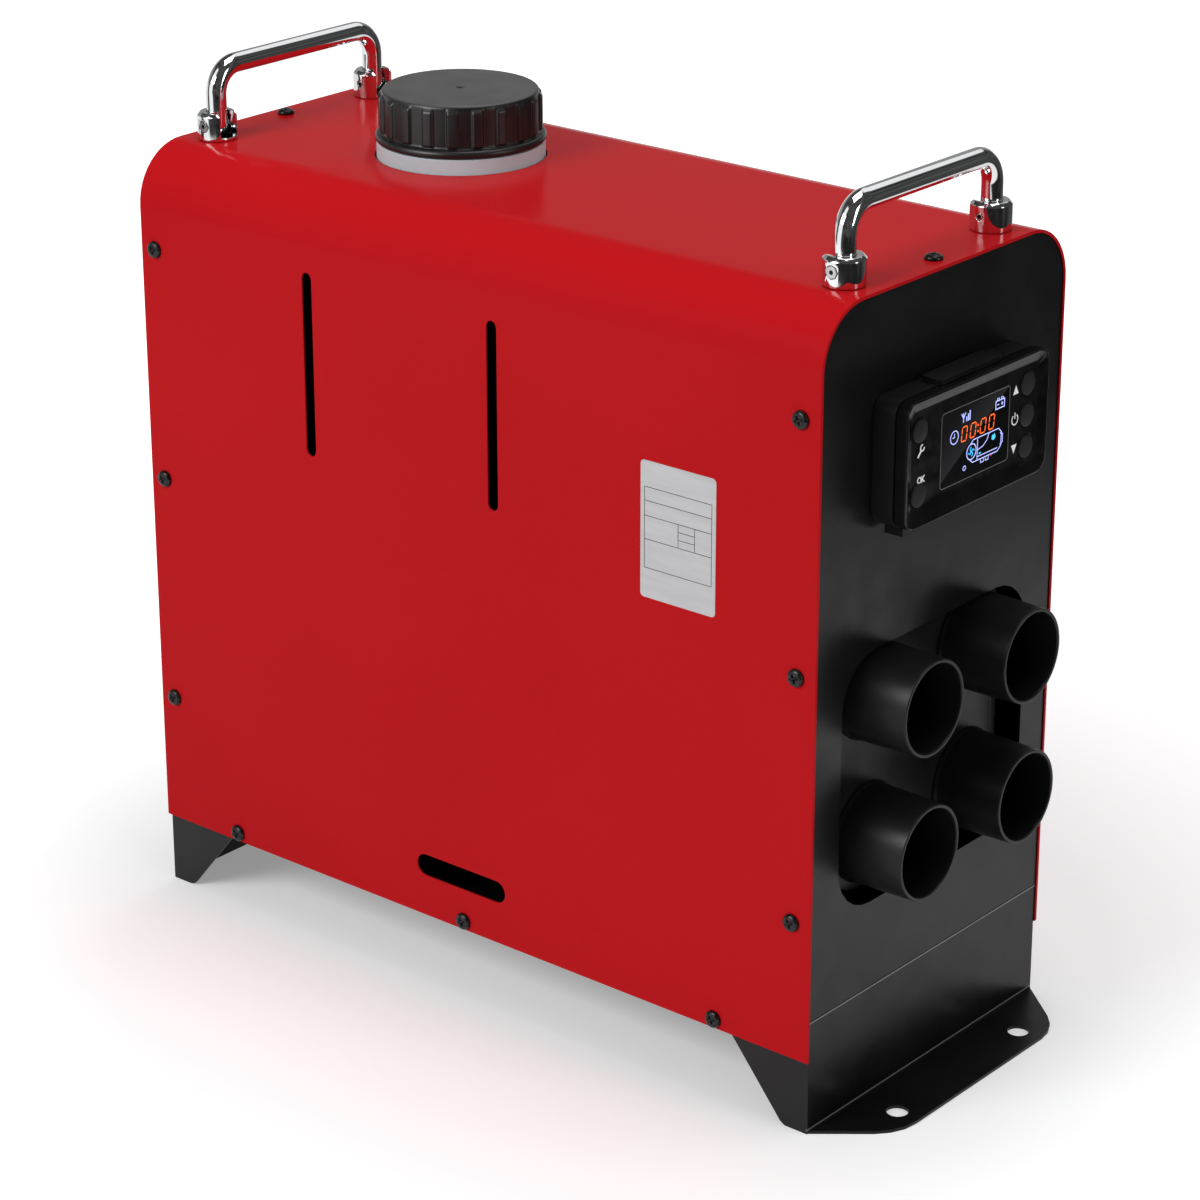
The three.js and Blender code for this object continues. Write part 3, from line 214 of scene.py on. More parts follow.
def stroke(points, width):
    """A line of a given width as an outline: the points moved half a width to the left, then back along the
    points moved half a width to the right, mitred by the mean of the neighbouring directions. A sharp corner
    moves its point no more than twice as far."""
    points = np.asarray(points, float)
    step = np.diff(points, axis=0)
    step /= np.linalg.norm(step, axis=1, keepdims=True)
    mean = np.vstack([step[:1], step[:-1] + step[1:], step[-1:]])
    mean /= np.linalg.norm(mean, axis=1, keepdims=True)
    full = np.vstack([step[:1], step])
    side = np.stack([-mean[:, 1], mean[:, 0]], -1)
    stretch = 1 / np.maximum(0.5, (mean * full).sum(1, keepdims=True))
    return np.vstack([points + side * stretch * width / 2, (points - side * stretch * width / 2)[::-1]])


def ring_strokes(centre, radius, width, start=0, sweep=360, parts=24):
    """Short strokes along a circle or an arc of it, each a thin four-cornered plate."""
    turn = np.radians(np.linspace(start, start + sweep, parts + 1))
    inner, outer = radius - width / 2, radius + width / 2
    direction = np.stack([np.cos(turn), np.sin(turn)], -1)
    low, high = np.asarray(centre) + inner * direction, np.asarray(centre) + outer * direction
    return [np.array([low[i], high[i], high[i + 1], low[i + 1]]) for i in range(parts)]


# Materials ----------------------------------------------------------------------------------------

class Wiring:
    """Short ways to make and join the shader nodes of one tree."""

    def __init__(self, tree):
        self.tree = tree

    def node(self, kind, **values):
        """A new node with its settings and its inputs' constants, where an underscore stands for a space."""
        made = self.tree.nodes.new("ShaderNode" + kind)
        for key, value in values.items():
            if hasattr(made, key):
                setattr(made, key, value)
            else:
                made.inputs[key.replace("_", " ")].default_value = value
        return made

    def link(self, out, into):
        """Joins an output to an input."""
        self.tree.links.new(out, into)

    def reckon(self, operation, *values):
        """A Math node over sockets and numbers."""
        made = self.node("Math", operation=operation)
        for into, value in zip(made.inputs, values):
            if isinstance(value, (int, float)):
                into.default_value = value
            else:
                self.link(value, into)
        return made.outputs[0]

    def ramp(self, value, low, high, out_low, out_high):
        """A value carried evenly from one range to another, and held at its ends."""
        made = self.node("MapRange", From_Min=low, From_Max=high, To_Min=out_low, To_Max=out_high)
        self.link(value, made.inputs["Value"])
        return made.outputs["Result"]

    def between(self, value, low, high, soft):
        """One between two limits, falling to zero over a soft edge outside each of them."""
        return self.reckon("MULTIPLY", self.ramp(value, low - soft, low, 0.0, 1.0),
                           self.ramp(value, high, high + soft, 1.0, 0.0))

    def length(self, a, b):
        """The length of a flat vector: the root of the sum of its squares."""
        squares = self.reckon("ADD", self.reckon("MULTIPLY", a, a), self.reckon("MULTIPLY", b, b))
        return self.reckon("SQRT", squares)

    def blend_color(self, share, low, high):
        """A colour between two others, each a triple or a socket."""
        mix = self.node("Mix", data_type="RGBA")
        self.link(share, mix.inputs[0])
        for into, color in ((mix.inputs[6], low), (mix.inputs[7], high)):
            if isinstance(color, tuple):
                into.default_value = (*color, 1.0)
            else:
                self.link(color, into)
        return mix.outputs[2]

    def parts_of(self, vector):
        """The X, Y and Z of a vector, as three sockets."""
        split = self.node("SeparateXYZ")
        self.link(vector, split.inputs["Vector"])
        return split.outputs["X"], split.outputs["Y"], split.outputs["Z"]


class Finish(Wiring):
    """A procedural material: a Principled shader with nodes that read Object coordinates in metres."""

    def __init__(self, name, color, roughness, metallic=0.0, shine=0.5):
        self.material = bpy.data.materials.new(name)
        self.material.use_nodes = True
        super().__init__(self.material.node_tree)
        self.shader = self.tree.nodes["Principled BSDF"]
        self.set("Base Color", (*color, 1.0))
        self.set("Roughness", roughness)
        self.set("Metallic", metallic)
        self.set("Specular IOR Level", shine)
        self.place = self.tree.nodes.new("ShaderNodeTexCoord").outputs["Object"]

    def set(self, socket, value):
        """Gives one of the shader's inputs a constant."""
        self.shader.inputs[socket].default_value = value

    def noise(self, scale, detail=2.0, stretch=None):
        """Noise over the piece's own place in metres, with a scale for each axis when stretched."""
        made = self.node("TexNoise", Scale=scale, Detail=detail, Roughness=0.5)
        source = self.place
        if stretch:
            mapping = self.node("Mapping")
            mapping.inputs["Scale"].default_value = stretch
            self.link(source, mapping.inputs["Vector"])
            source = mapping.outputs["Vector"]
        self.link(source, made.inputs["Vector"])
        return made.outputs["Fac"]

    def clouded(self, value, dark, light):
        """A colour that a noise moves between a dark and a light one."""
        return self.blend_color(self.ramp(value, *NOISE_MIDDLE, 0.0, 1.0), dark, light)

    def color_by(self, color):
        """Takes the base colour from a socket."""
        self.link(color, self.shader.inputs["Base Color"])

    def vary_color(self, value, dark, light):
        """Lets a noise move the base colour."""
        self.color_by(self.clouded(value, dark, light))

    def vary_roughness(self, value, smooth, rough):
        """Lets a noise move the roughness."""
        self.link(self.ramp(value, *NOISE_MIDDLE, smooth, rough), self.shader.inputs["Roughness"])

    def bump(self, value, distance, strength):
        """Fine relief from a height, laid over any relief that is there already."""
        made = self.node("Bump", Strength=strength, Distance=distance)
        self.link(value, made.inputs["Height"])
        if self.shader.inputs["Normal"].is_linked:
            self.link(self.shader.inputs["Normal"].links[0].from_socket, made.inputs["Normal"])
        self.link(made.outputs["Normal"], self.shader.inputs["Normal"])


def red_enamel():
    """Glossy stoved enamel outside: even red, with a faint orange peel and slow changes of gloss. The sheet's
    inner face and the edges of its slots carry a painted shade, near-black in place of the red they really
    have: a point is inside where its distance from the line of bend centres, the length of its overhang past
    that line across and up, falls short of the bend's radius, and where it isn't at an end edge of the sheet,
    which is red too."""
    finish = Finish("red_enamel", (0.46, 0.0075, 0.0105), 0.2, shine=ENAMEL_SHINE)
    x, y, z = finish.parts_of(finish.place)
    across = finish.reckon("SUBTRACT", finish.reckon("ABSOLUTE", y), SIDE_Y - BEND_RADIUS)
    across = finish.reckon("MAXIMUM", across, 0.0)
    up = finish.reckon("MAXIMUM", finish.reckon("SUBTRACT", z, TOP_Z - BEND_RADIUS), 0.0)
    distance = finish.length(across, up)
    outside = finish.ramp(distance, BEND_RADIUS - 0.75 * MM, BEND_RADIUS - 0.65 * MM, 0.0, 1.0)
    endways = finish.reckon("ABSOLUTE", finish.reckon("SUBTRACT", x, MIDDLE))
    end_edge = finish.ramp(endways, SHELL_END - 0.5 * MM, SHELL_END - 0.4 * MM, 0.0, 1.0)
    red = finish.clouded(finish.noise(5, 2), (0.455, 0.0072, 0.0102), (0.485, 0.008, 0.0112))
    # painted shade: the inner face gets near-black instead of red, standing for the shade inside the case
    finish.color_by(finish.blend_color(finish.reckon("MAXIMUM", outside, end_edge), (0.006, 0.005, 0.005), red))
    finish.vary_roughness(finish.noise(25, 3), 0.16, 0.22)
    finish.bump(finish.noise(420, 1), 0.00004, 0.25)
    return finish.material


def black_powder_coat():
    """Satin powder coat on folded sheet: fine grain in the height, slightly uneven gloss, and painted
    highlights: two narrow pale bands of height at the case's two ends, along the feet's top edge and just above
    their fold, stand for the light that those edges catch."""
    finish = Finish("black_powder_coat", (0.006, 0.006, 0.0065), 0.32, shine=POWDER_SHINE)
    x, _, z = finish.parts_of(finish.place)
    # painted highlight: pale lines along the seam and just above the fold, on the end faces only
    painted_edge_highlight = finish.reckon("MAXIMUM", finish.between(z, SEAM_Z - 0.75 * MM, SEAM_Z - 0.1 * MM, 0.05 * MM),
                           finish.between(z, 1.75 * MM, 2.3 * MM, 0.15 * MM))
    endways = finish.reckon("ABSOLUTE", finish.reckon("SUBTRACT", x, MIDDLE))
    at_face = finish.between(endways, FACE_X - 0.5 * MM, FACE_X + 0.1 * MM, 0.05 * MM)
    coat = finish.clouded(finish.noise(18, 3), (0.0045, 0.0045, 0.005), (0.0075, 0.0075, 0.008))
    finish.color_by(finish.blend_color(finish.reckon("MULTIPLY", painted_edge_highlight, at_face), coat, (0.2, 0.2, 0.2)))
    finish.vary_roughness(finish.noise(60, 4), 0.28, 0.36)
    finish.bump(finish.noise(2200, 2), 0.00004, 0.4)
    return finish.material


def black_screw():
    """Black oxide on screw heads: dark and satin, polished a little on the dome."""
    finish = Finish("black_screw", (0.012, 0.012, 0.013), 0.28, 0.6)
    finish.vary_roughness(finish.noise(900, 2), 0.22, 0.36)
    finish.vary_color(finish.noise(500, 2), (0.008, 0.008, 0.009), (0.03, 0.03, 0.032))
    return finish.material


def polished_chrome():
    """Chrome plate: nearly a mirror, with faint polishing haze along the bar."""
    finish = Finish("polished_chrome", (0.78, 0.79, 0.8), 0.05, 1.0)
    finish.vary_roughness(finish.noise(140, 3), 0.03, 0.1)
    finish.bump(finish.noise(90, 1), 0.0001, 0.08)
    return finish.material


def pin_steel():
    """Bright pin ends with a painted shade for the punched hollow in their middle: a point is in the hollow
    where its distance from the nearest pivot line, across and up, is under a millimetre, and there the colour
    is near black."""
    finish = Finish("pin_steel", (0.5, 0.5, 0.51), 0.22, 1.0)
    x, _, z = finish.parts_of(finish.place)
    along = finish.reckon("ABSOLUTE", finish.reckon("SUBTRACT", x, MIDDLE))
    along = finish.reckon("SUBTRACT", along, HANDLE_X)
    up = finish.reckon("SUBTRACT", z, PIVOT_Z)
    # painted shade: near-black inside a millimetre of the pivot line, standing for the hollow's shade
    clear_of_painted_hollow_shade = finish.ramp(finish.length(along, up), 0.9 * MM, 1.15 * MM, 0.0, 1.0)
    finish.color_by(finish.blend_color(clear_of_painted_hollow_shade, (0.02, 0.02, 0.02), (0.52, 0.52, 0.53)))
    finish.vary_roughness(finish.noise(300, 2), 0.18, 0.3)
    return finish.material


def plain_steel():
    """Zinc-plated sheet and bar: grey metal with fine brushing along X and cloudy patches."""
    finish = Finish("plain_steel", (0.42, 0.43, 0.44), 0.35, 1.0)
    finish.vary_color(finish.noise(40, 3), (0.36, 0.37, 0.38), (0.5, 0.51, 0.52))
    finish.vary_roughness(finish.noise(60, 4, (1, 18, 18)), 0.28, 0.45)
    finish.bump(finish.noise(120, 3, (1, 22, 22)), 0.00002, 0.4)
    return finish.material


def moulded_plastic(name, color, roughness, grain=1500, spread=0.25, depth=0.00006, shine=0.3):
    """Moulded plastic: a fine spark-eroded grain in the height, with slight changes of shade and gloss."""
    finish = Finish(name, color, roughness, shine=shine)
    dark = tuple(c * (1 - spread) for c in color)
    light = tuple(c * (1 + spread) for c in color)
    finish.vary_color(finish.noise(30, 3), dark, light)
    finish.vary_roughness(finish.noise(70, 3), roughness * 0.88, min(1.0, roughness * 1.12))
    finish.bump(finish.noise(grain, 2), depth, 0.5)
    return finish.material


def piano_black():
    """Glossy black moulding: a deep black with a hard clear shine and a few faint scuffs."""
    finish = Finish("piano_black", (0.004, 0.004, 0.0045), 0.16, shine=0.2)
    finish.vary_roughness(finish.noise(160, 4), 0.12, 0.24)
    finish.vary_color(finish.noise(50, 2), (0.0035, 0.0035, 0.004), (0.006, 0.006, 0.0065))
    finish.bump(finish.noise(35, 1), 0.0001, 0.05)
    return finish.material


def cap_plastic():
    """Black moulded plastic whose upward-facing crown carries a painted sheen, a lighter colour for the light
    it catches from above, and is rougher than its polished ribs: the shade and the roughness rise over the last
    millimetre of the cap's height."""
    finish = Finish("cap_plastic", (0.009, 0.009, 0.0095), 0.42)
    _, _, z = finish.parts_of(finish.place)
    crown = finish.ramp(z, CAP_TOP_Z - 0.9 * MM, CAP_TOP_Z - 0.3 * MM, 0.0, 1.0)
    wall = finish.clouded(finish.noise(30, 3), (0.0065, 0.0065, 0.007), (0.011, 0.0105, 0.0105))
    # painted sheen: the crown's colour is lifted far above the wall's to stand for the light on the top
    top = finish.clouded(finish.noise(55, 4), (0.06, 0.06, 0.06), (0.076, 0.076, 0.076))
    finish.color_by(finish.blend_color(crown, wall, top))
    finish.link(finish.ramp(crown, 0.0, 1.0, 0.36, 0.55), finish.shader.inputs["Roughness"])
    finish.bump(finish.noise(1800, 2), 0.00006, 0.5)
    return finish.material


def display_glass():
    """The dark window, with a painted reflection above a diagonal, a lighter band of glare on the glass: a
    point's height over that line, its height less a share of its width, steps the shade up and then lets it
    fade away."""
    finish = Finish("display_glass", (0.003, 0.003, 0.004), 0.12, shine=0.3)
    _, y, z = finish.parts_of(finish.place)
    # painted reflection: a lighter band above the diagonal that fades upward
    over = finish.reckon("MULTIPLY_ADD", y, -0.62, z)
    over = finish.reckon("SUBTRACT", over, PANEL_Z + 1.2 * MM)
    step = finish.ramp(over, 0.0, 0.4 * MM, 0.0, 1.0)
    fade = finish.ramp(over, 0.4 * MM, 20 * MM, 1.0, 0.25)
    painted_glare = finish.reckon("MULTIPLY", step, fade)
    finish.color_by(finish.blend_color(painted_glare, (0.0022, 0.0022, 0.0026), (0.03, 0.03, 0.033)))
    finish.bump(finish.noise(60, 1), 0.0001, 0.03)
    return finish.material


def circuit_board():
    """Green solder mask with darker tracks."""
    finish = Finish("circuit_board", (0.01, 0.09, 0.025), 0.4)
    finish.vary_color(finish.noise(300, 2, (1, 1, 5)), (0.006, 0.05, 0.015), (0.015, 0.12, 0.035))
    finish.bump(finish.noise(400, 2), 0.00005, 0.3)
    return finish.material


def cast_aluminium():
    """Die-cast aluminium: pale grey metal with a grainy skin."""
    finish = Finish("cast_aluminium", (0.4, 0.41, 0.42), 0.45, 0.9)
    finish.vary_color(finish.noise(90, 4), (0.33, 0.34, 0.35), (0.46, 0.47, 0.48))
    finish.vary_roughness(finish.noise(200, 3), 0.4, 0.6)
    finish.bump(finish.noise(900, 3), 0.00015, 0.6)
    return finish.material


def soft_rubber():
    """Matt rubber: near-black with a dusty bloom."""
    finish = Finish("soft_rubber", (0.014, 0.014, 0.014), 0.75)
    finish.vary_color(finish.noise(60, 4), (0.011, 0.011, 0.011), (0.022, 0.022, 0.022))
    finish.vary_roughness(finish.noise(120, 3), 0.65, 0.85)
    finish.bump(finish.noise(1300, 2), 0.00008, 0.5)
    return finish.material


def label_foil():
    """Printed foil: a pale grey with a very faint horizontal brushing."""
    finish = Finish("label_foil", (0.5, 0.5, 0.51), 0.4, 0.1)
    finish.vary_color(finish.noise(40, 3, (1, 1, 10)), (0.49, 0.49, 0.5), (0.53, 0.53, 0.54))
    finish.vary_roughness(finish.noise(90, 3, (1, 1, 12)), 0.36, 0.44)
    return finish.material


def printed_ink(name, color, glow=0.0):
    """Ink or a lit display element: its colour, a slightly uneven cover, and light of its own when lit."""
    finish = Finish(name, color, 0.45)
    finish.vary_color(finish.noise(900, 2), tuple(c * 0.86 for c in color), color)
    if glow:
        finish.set("Emission Color", (*color, 1.0))
        finish.set("Emission Strength", glow)
    return finish.material


RED = red_enamel()
POWDER = black_powder_coat()
SCREW = black_screw()
CHROME = polished_chrome()
PIN = pin_steel()
STEEL = plain_steel()
WHITE_NECK = moulded_plastic("white_neck", (0.52, 0.62, 0.66), 0.38, 260, 0.04, 0.0004)
TANK = moulded_plastic("black_tank", (0.012, 0.012, 0.012), 0.5)
CAP = cap_plastic()
FILTER = moulded_plastic("filter_plastic", (0.55, 0.55, 0.52), 0.4, 900, 0.06)
PANEL = moulded_plastic("panel_plastic", (0.009, 0.009, 0.0095), 0.38, 2400, 0.2, shine=0.22)
GLOSS = piano_black()
GLASS = display_glass()
BOARD = circuit_board()
BUTTON = moulded_plastic("button_rubber", (0.013, 0.013, 0.014), 0.55, 2600, 0.2, shine=0.25)
DUCT = moulded_plastic("duct_plastic", (0.009, 0.009, 0.0095), 0.36, 1200, 0.25, shine=0.24)
CORE = moulded_plastic("core_plastic", (0.02, 0.02, 0.022), 0.5)
CASTING = cast_aluminium()
RUBBER = soft_rubber()
FOIL = label_foil()
LABEL_INK = printed_ink("label_ink", (0.02, 0.02, 0.02))
WHITE_PRINT = printed_ink("white_print", (0.75, 0.75, 0.75), 0.25)
ORANGE_DIGITS = printed_ink("orange_digits", (1.0, 0.13, 0.01), 1.0)
BLUE_LINES = printed_ink("blue_lines", (0.42, 0.48, 1.0), 0.9)
CYAN_LINES = printed_ink("cyan_lines", (0.05, 0.5, 0.9), 0.9)
RED_MARK = printed_ink("red_mark", (0.7, 0.02, 0.02), 0.3)
GREY_PRINT = printed_ink("grey_print", (0.22, 0.22, 0.23))


# Carried-over nodes -------------------------------------------------------------------------------

def dress(node, material, edge):
    """A node of the model keeps its shape. Its loose triangles are welded, its folded and cut edges get a
    small radius, and it takes its finish."""
    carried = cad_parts[node]
    carried.data.materials.clear()
    carried.data.materials.append(material)
    carried.data.polygons.foreach_set("use_smooth", np.ones(len(carried.data.polygons), bool))
    weld = carried.modifiers.new("weld", "WELD")
    weld.merge_threshold = 1e-6
    bevel = carried.modifiers.new("edge", "BEVEL")
    bevel.width = edge
    bevel.segments = 2
    bevel.limit_method = "ANGLE"
    bevel.angle_limit = math.radians(32)
    bevel.use_clamp_overlap = True
    shade = carried.modifiers.new("shade", "WEIGHTED_NORMAL")
    shade.mode = "FACE_AREA_WITH_ANGLE"
    shade.weight = 80


FINISHES = {
    "outer_shell": RED, "front_end_plate": POWDER, "rear_end_plate": POWDER, "inlet_guard": DUCT,
    "power_gland": RUBBER, "front_foot": POWDER, "base_tray": POWDER, "fuel_tank": TANK,
    "neck_collar": WHITE_NECK, "tank_shelf": STEEL, "cap_seal": RUBBER, "fuel_filter": FILTER,
    "fuel_pump": STEEL, "pump_clip": RUBBER, "tank_hose": RUBBER, "pump_hose": RUBBER,
    "burner_hose": RUBBER, "controller_cradle": PANEL, "controller_case": PANEL, "display_board": BOARD,
    "display_window": GLASS, "controller_bezel": GLOSS, "outlet_plenum": DUCT, "core_lower_half": CORE,
    "core_upper_half": CORE, "heat_exchanger": CASTING, "burner_tube": STEEL,
    "combustion_housing": CASTING, "glow_plug": STEEL, "fan_motor": STEEL, "fan_shaft": STEEL,
    "air_impeller": CORE, "combustion_impeller": CASTING, "control_unit": CORE, "overheat_sensor": STEEL,
    "core_stand": STEEL, "exhaust_pipe": STEEL, "intake_pipe": RUBBER,
}
FINE_EDGES = {"controller_bezel": 0.5 * MM, "controller_cradle": 0.5 * MM, "outlet_plenum": 0.8 * MM,
              "display_window": 0.1 * MM}
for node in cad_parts:
    if node in FINISHES:
        dress(node, FINISHES[node], FINE_EDGES.get(node, 0.3 * MM))
    elif node.endswith("_button"):
        dress(node, BUTTON, 0.25 * MM)
    elif node.endswith("_handle_pin"):
        dress(node, PIN, 0.15 * MM)
    elif node.endswith("_handle_post"):
        dress(node, CHROME, 0.4 * MM)


# Screws -------------------------------------------------------------------------------------------

def screw_heads(name, places, across, up, outward):
    """Domed pan heads with a cross recess. Over a disc of (r, t) the height is the head's height times the
    square root of one minus (r / R) to the fourth, less a cross-shaped pit that fades over a few tenths
    of a millimetre at its edges and deepens towards the middle. places are the heads' centres, and across,
    up and outward are the directions of the disc."""
    radius, height = SCREW_HEAD_RADIUS, SCREW_HEAD_HEIGHT
    r = radius * np.sin(np.linspace(0, np.pi / 2, 26))[:, None]
    t = np.linspace(0, 2 * np.pi, 56, endpoint=False)[None, :]
    x, y = r * np.cos(t), r * np.sin(t)
    c, s = math.cos(RECESS_TURN), math.sin(RECESS_TURN)
    a, b = x * c + y * s, y * c - x * s

    def arm(p, q):
        """A soft-edged bar: one inside half the width and length, falling to zero over the fade."""
        fade = 0.22 * MM
        wide, long = (np.clip((half - np.abs(at)) / fade + 0.5, 0, 1) for half, at in zip(RECESS_ARM, (p, q)))
        return wide * long

    cross = np.maximum(arm(a, b), arm(b, a))
    depth = cross * (0.75 * MM + 0.7 * MM * np.clip(1 - r / (2.4 * MM), 0, 1))
    top = height * np.sqrt(np.clip(1 - (r / radius) ** 4, 0, 1)) * 0.75 + height * 0.25 - depth
    skirt = np.stack([x[-1:], y[-1:], np.zeros_like(x[-1:])], -1)
    dome = np.stack([x, y, top], -1)
    middle = np.zeros_like(skirt)
    local = np.concatenate([dome, skirt, middle])
    faces = quads(local.shape[0], local.shape[1])
    basis = np.array([across, up, outward], float)
    head = (local @ basis).reshape(-1, 3)
    points = (np.asarray(places, float)[:, None] + head[None]).reshape(-1, 3)
    numbers = np.arange(len(places))[:, None, None] * len(head)
    every = (faces[None] + numbers).reshape(-1, 4)
    piece(name, points, every, SCREW, slot="black_screw")


for wall, side in (("near", -1), ("far", 1)):
    seat = side * (SIDE_Y + 0.05 * MM)
    spots = SIDE_SCREWS + BOTTOM_SCREWS
    screw_heads(f"{wall}_wall_screws", [(MIDDLE + x * MM, seat, z * MM) for x, z in spots],
                (-side, 0, 0), (0, 0, 1), (0, side, 0))
screw_heads("roof_screws", [(MIDDLE + x * MM, 0, TOP_Z + 0.05 * MM) for x in TOP_SCREWS_X],
            (1, 0, 0), (0, 1, 0), (0, 0, 1))


# Rear foot ----------------------------------------------------------------------------------------

def rear_foot():
    """The rear foot, folded from one sheet with no flange on the floor: an upright face across the case and a
    tapering wing along each side, each a flat outline a sheet thick."""
    root, toe, end = -FACE_X + SHEET / 2, -185.7 * MM, -156 * MM
    sole = rounded(np.array([(root, 0), (toe, 0), (end, 36 * MM)]), 3 * MM, 6)
    wing = np.vstack([sole, [(end, WING_TOP_Z), (root, WING_TOP_Z)]])
    wings = [plates([wing], lambda x, z, d, y=y: np.stack([MIDDLE + x, y + d, z], -1), SHEET)
             for y in (-WING_Y, WING_Y - SHEET)]
    edge = WING_Y - 0.05 * MM
    face = np.array([[-edge, 0.05 * MM], [edge, 0.05 * MM], [edge, SEAM_Z], [-edge, SEAM_Z]])
    parts = wings + [plates([face], lambda y, z, d: np.stack([MIDDLE - FACE_X + d, y, z], -1), SHEET)]
    starts = np.cumsum([0] + [len(points) for points, _ in parts])
    faces = [[int(i + start) for i in ring] for (_, rings), start in zip(parts, starts) for ring in rings]
    made = piece("rear_foot_sheet", np.vstack([points for points, _ in parts]), faces, POWDER,
                 slot="black_frame", stands_for=("rear_foot",), smooth=False)
    bevel = made.modifiers.new("edge", "BEVEL")
    bevel.width = 0.3 * MM
    bevel.segments = 2


rear_foot()


# Fuel cap -----------------------------------------------------------------------------------------

def cap_ribs(turn, station):
    """Grip ribs: a flat-topped wave round the cap, the cosine of twenty turns steepened and clipped to
    between 0 and 1 so that a rib is narrower than a gap, that fades out just below the crown and above
    the lip."""
    wave = np.clip(2.6 * np.cos(CAP_RIBS * turn) - 0.2, 0, 1)
    rise = np.clip((station - RIB_LOW_Z) / (0.8 * MM), 0, 1)
    fall = np.clip((RIB_HIGH_Z - station) / (1.6 * MM), 0, 1)
    return RIB_DEPTH * wave * rise * np.sqrt(fall)


CAP_INSIDE_AND_LIP = [(1.9, 407.2), (33, 407.2), (33, 387.3), (39.2, 387.3), (40, 388.1), (40, 389.7),
                      (39.1, 390.9), (37.3, 391.3), (36.9, 392.3)]
CAP_CROWN = [(36.8, 409.2), (36.4, 410.7), (35.2, 411.5), (2.3, 411.5), (1.9, 411.1)]
CAP_WALL_LINES = 34


def fuel_cap():
    """The cap's section turned round the neck: the inside and the lip, the ribbed wall cut into fine lines
    between them and the crown, and the crown down to the vent hole."""
    lip = rounded(np.array(CAP_INSIDE_AND_LIP) * MM, 0.6 * MM, 3)
    crown = rounded(np.array(CAP_CROWN) * MM, 0.6 * MM, 3)
    wall = np.linspace(lip[-1], crown[0], CAP_WALL_LINES)[1:-1]
    turned_piece("fuel_cap_moulding", np.vstack([lip, wall, crown]), "z", (CAP_X, 0, 0), CAP, sides=480,
                 swell=cap_ribs, body="cap", slot="cap_plastic", stands_for=("fuel_cap",))


fuel_cap()


# Handles ------------------------------------------------------------------------------------------

def handle(name, end, node, body):
    """A U of round bar: up one leg, a quarter circle, across, a quarter circle and down, with each leg's
    foot closed by a half ball whose ring radius falls as a cosine."""
    corner = np.linspace(0, np.pi / 2, 14)
    foot = np.linspace(np.pi / 2, 0, BAR_END_RINGS)
    left = np.stack([np.full(BAR_END_RINGS, -HANDLE_Y), PIVOT_Z - BAR_RADIUS * np.sin(foot)], -1)
    bend = np.stack([-HANDLE_Y + BAR_BEND * (1 - np.cos(corner)),
                     BAR_TOP_Z - BAR_BEND * (1 - np.sin(corner))], -1)
    half = np.vstack([left, bend])
    path = np.vstack([half, half[::-1] * [-1, 1]])
    radius = np.full(len(path), BAR_RADIUS)
    radius[:BAR_END_RINGS] = BAR_RADIUS * np.cos(foot)
    radius[-BAR_END_RINGS:] = radius[:BAR_END_RINGS][::-1]
    spine = np.column_stack([np.full(len(path), MIDDLE + end * HANDLE_X), path])
    points = swept_bar(spine, radius)
    piece(name, points, quads(len(path), points.shape[1]), CHROME, body=body, slot="chrome_handle",
          stands_for=(node,))


handle("front_handle_bar", 1, "front_handle", "front_grip")
handle("rear_handle_bar", -1, "rear_handle", "rear_grip")


# Warm-air outlets ---------------------------------------------------------------------------------

NOZZLE_PROFILE = [
    (20.4, 190.4), (20.2, 224.4), (20.5, 225.0), (21.8, 225.0), (22.0, 224.5), (22.8, 192.4),
    (23.4, 191.0), (23.5, 190.4),
]
nozzle_section = rounded(np.array(NOZZLE_PROFILE) * MM, 0.25 * MM, 3)
for number, (y, z) in enumerate(NOZZLE_CENTRES, 1):
    turned_piece(f"outlet_tube_{number}", nozzle_section, "x", (MIDDLE, y * MM, z * MM), DUCT, sides=96,
                 slot="duct_plastic", stands_for=(f"outlet_nozzle_{number}",))


# Label --------------------------------------------------------------------------------------------

def on_near_wall(x, z, depth):
    """A point on the near wall: along the case, up, and out by a depth."""
    return np.stack([MIDDLE + x, -SIDE_Y - 0.02 * MM - depth, z], -1)


label_points, label_faces = plates([rounded_outline(*LABEL_X, *LABEL_Z, 2 * MM)], on_near_wall, 0.15 * MM)
piece("data_label", label_points, label_faces, FOIL, slot="panel_plastic", smooth=False)


def label_rules():
    """The label's ruled table: a frame, its rows, and the box of three values at the right."""
    x0, x1 = LABEL_X[0] + 2.2 * MM, LABEL_X[1] - 2.2 * MM
    rows = [283.6, 277.3, 270.4, 259.6, 246.4]
    lines = [[(x0, z * MM), (x1, z * MM)] for z in rows]
    lines += [[(x, rows[0] * MM), (x, rows[-1] * MM)] for x in (x0, x1)]
    box = (x0 + 18.5 * MM, x0 + 27.5 * MM)
    lines += [[(x, rows[2] * MM), (x, rows[3] * MM)] for x in box]
    lines += [[(box[0], z * MM), (box[1], z * MM)] for z in (266.8, 263.2)]
    strokes = [stroke(line, 0.3 * MM) for line in lines]
    return plates(strokes, lambda x, z, d: on_near_wall(x, z, d + 0.16 * MM), 0.02 * MM)


piece("label_rules", *label_rules(), LABEL_INK, slot="panel_plastic", smooth=False)


# Panel prints and display -------------------------------------------------------------------------

def on_panel(lift):
    """A place on the panel's face: across, up, and out by a lift and a depth."""
    return lambda y, z, depth: np.stack([PANEL_FACE_X + lift + depth, y, z], -1)


def print_on_panel(name, outlines, material, lift=0.02 * MM):
    """Signs on the panel as thin plates. Outlines are in millimetres from the panel's middle."""
    moved = [np.asarray(o) * MM + np.array([0.0, PANEL_Z]) for o in outlines]
    piece(name, *plates(moved, on_panel(lift), PRINT_THICKNESS), material, slot="panel_window", smooth=False)


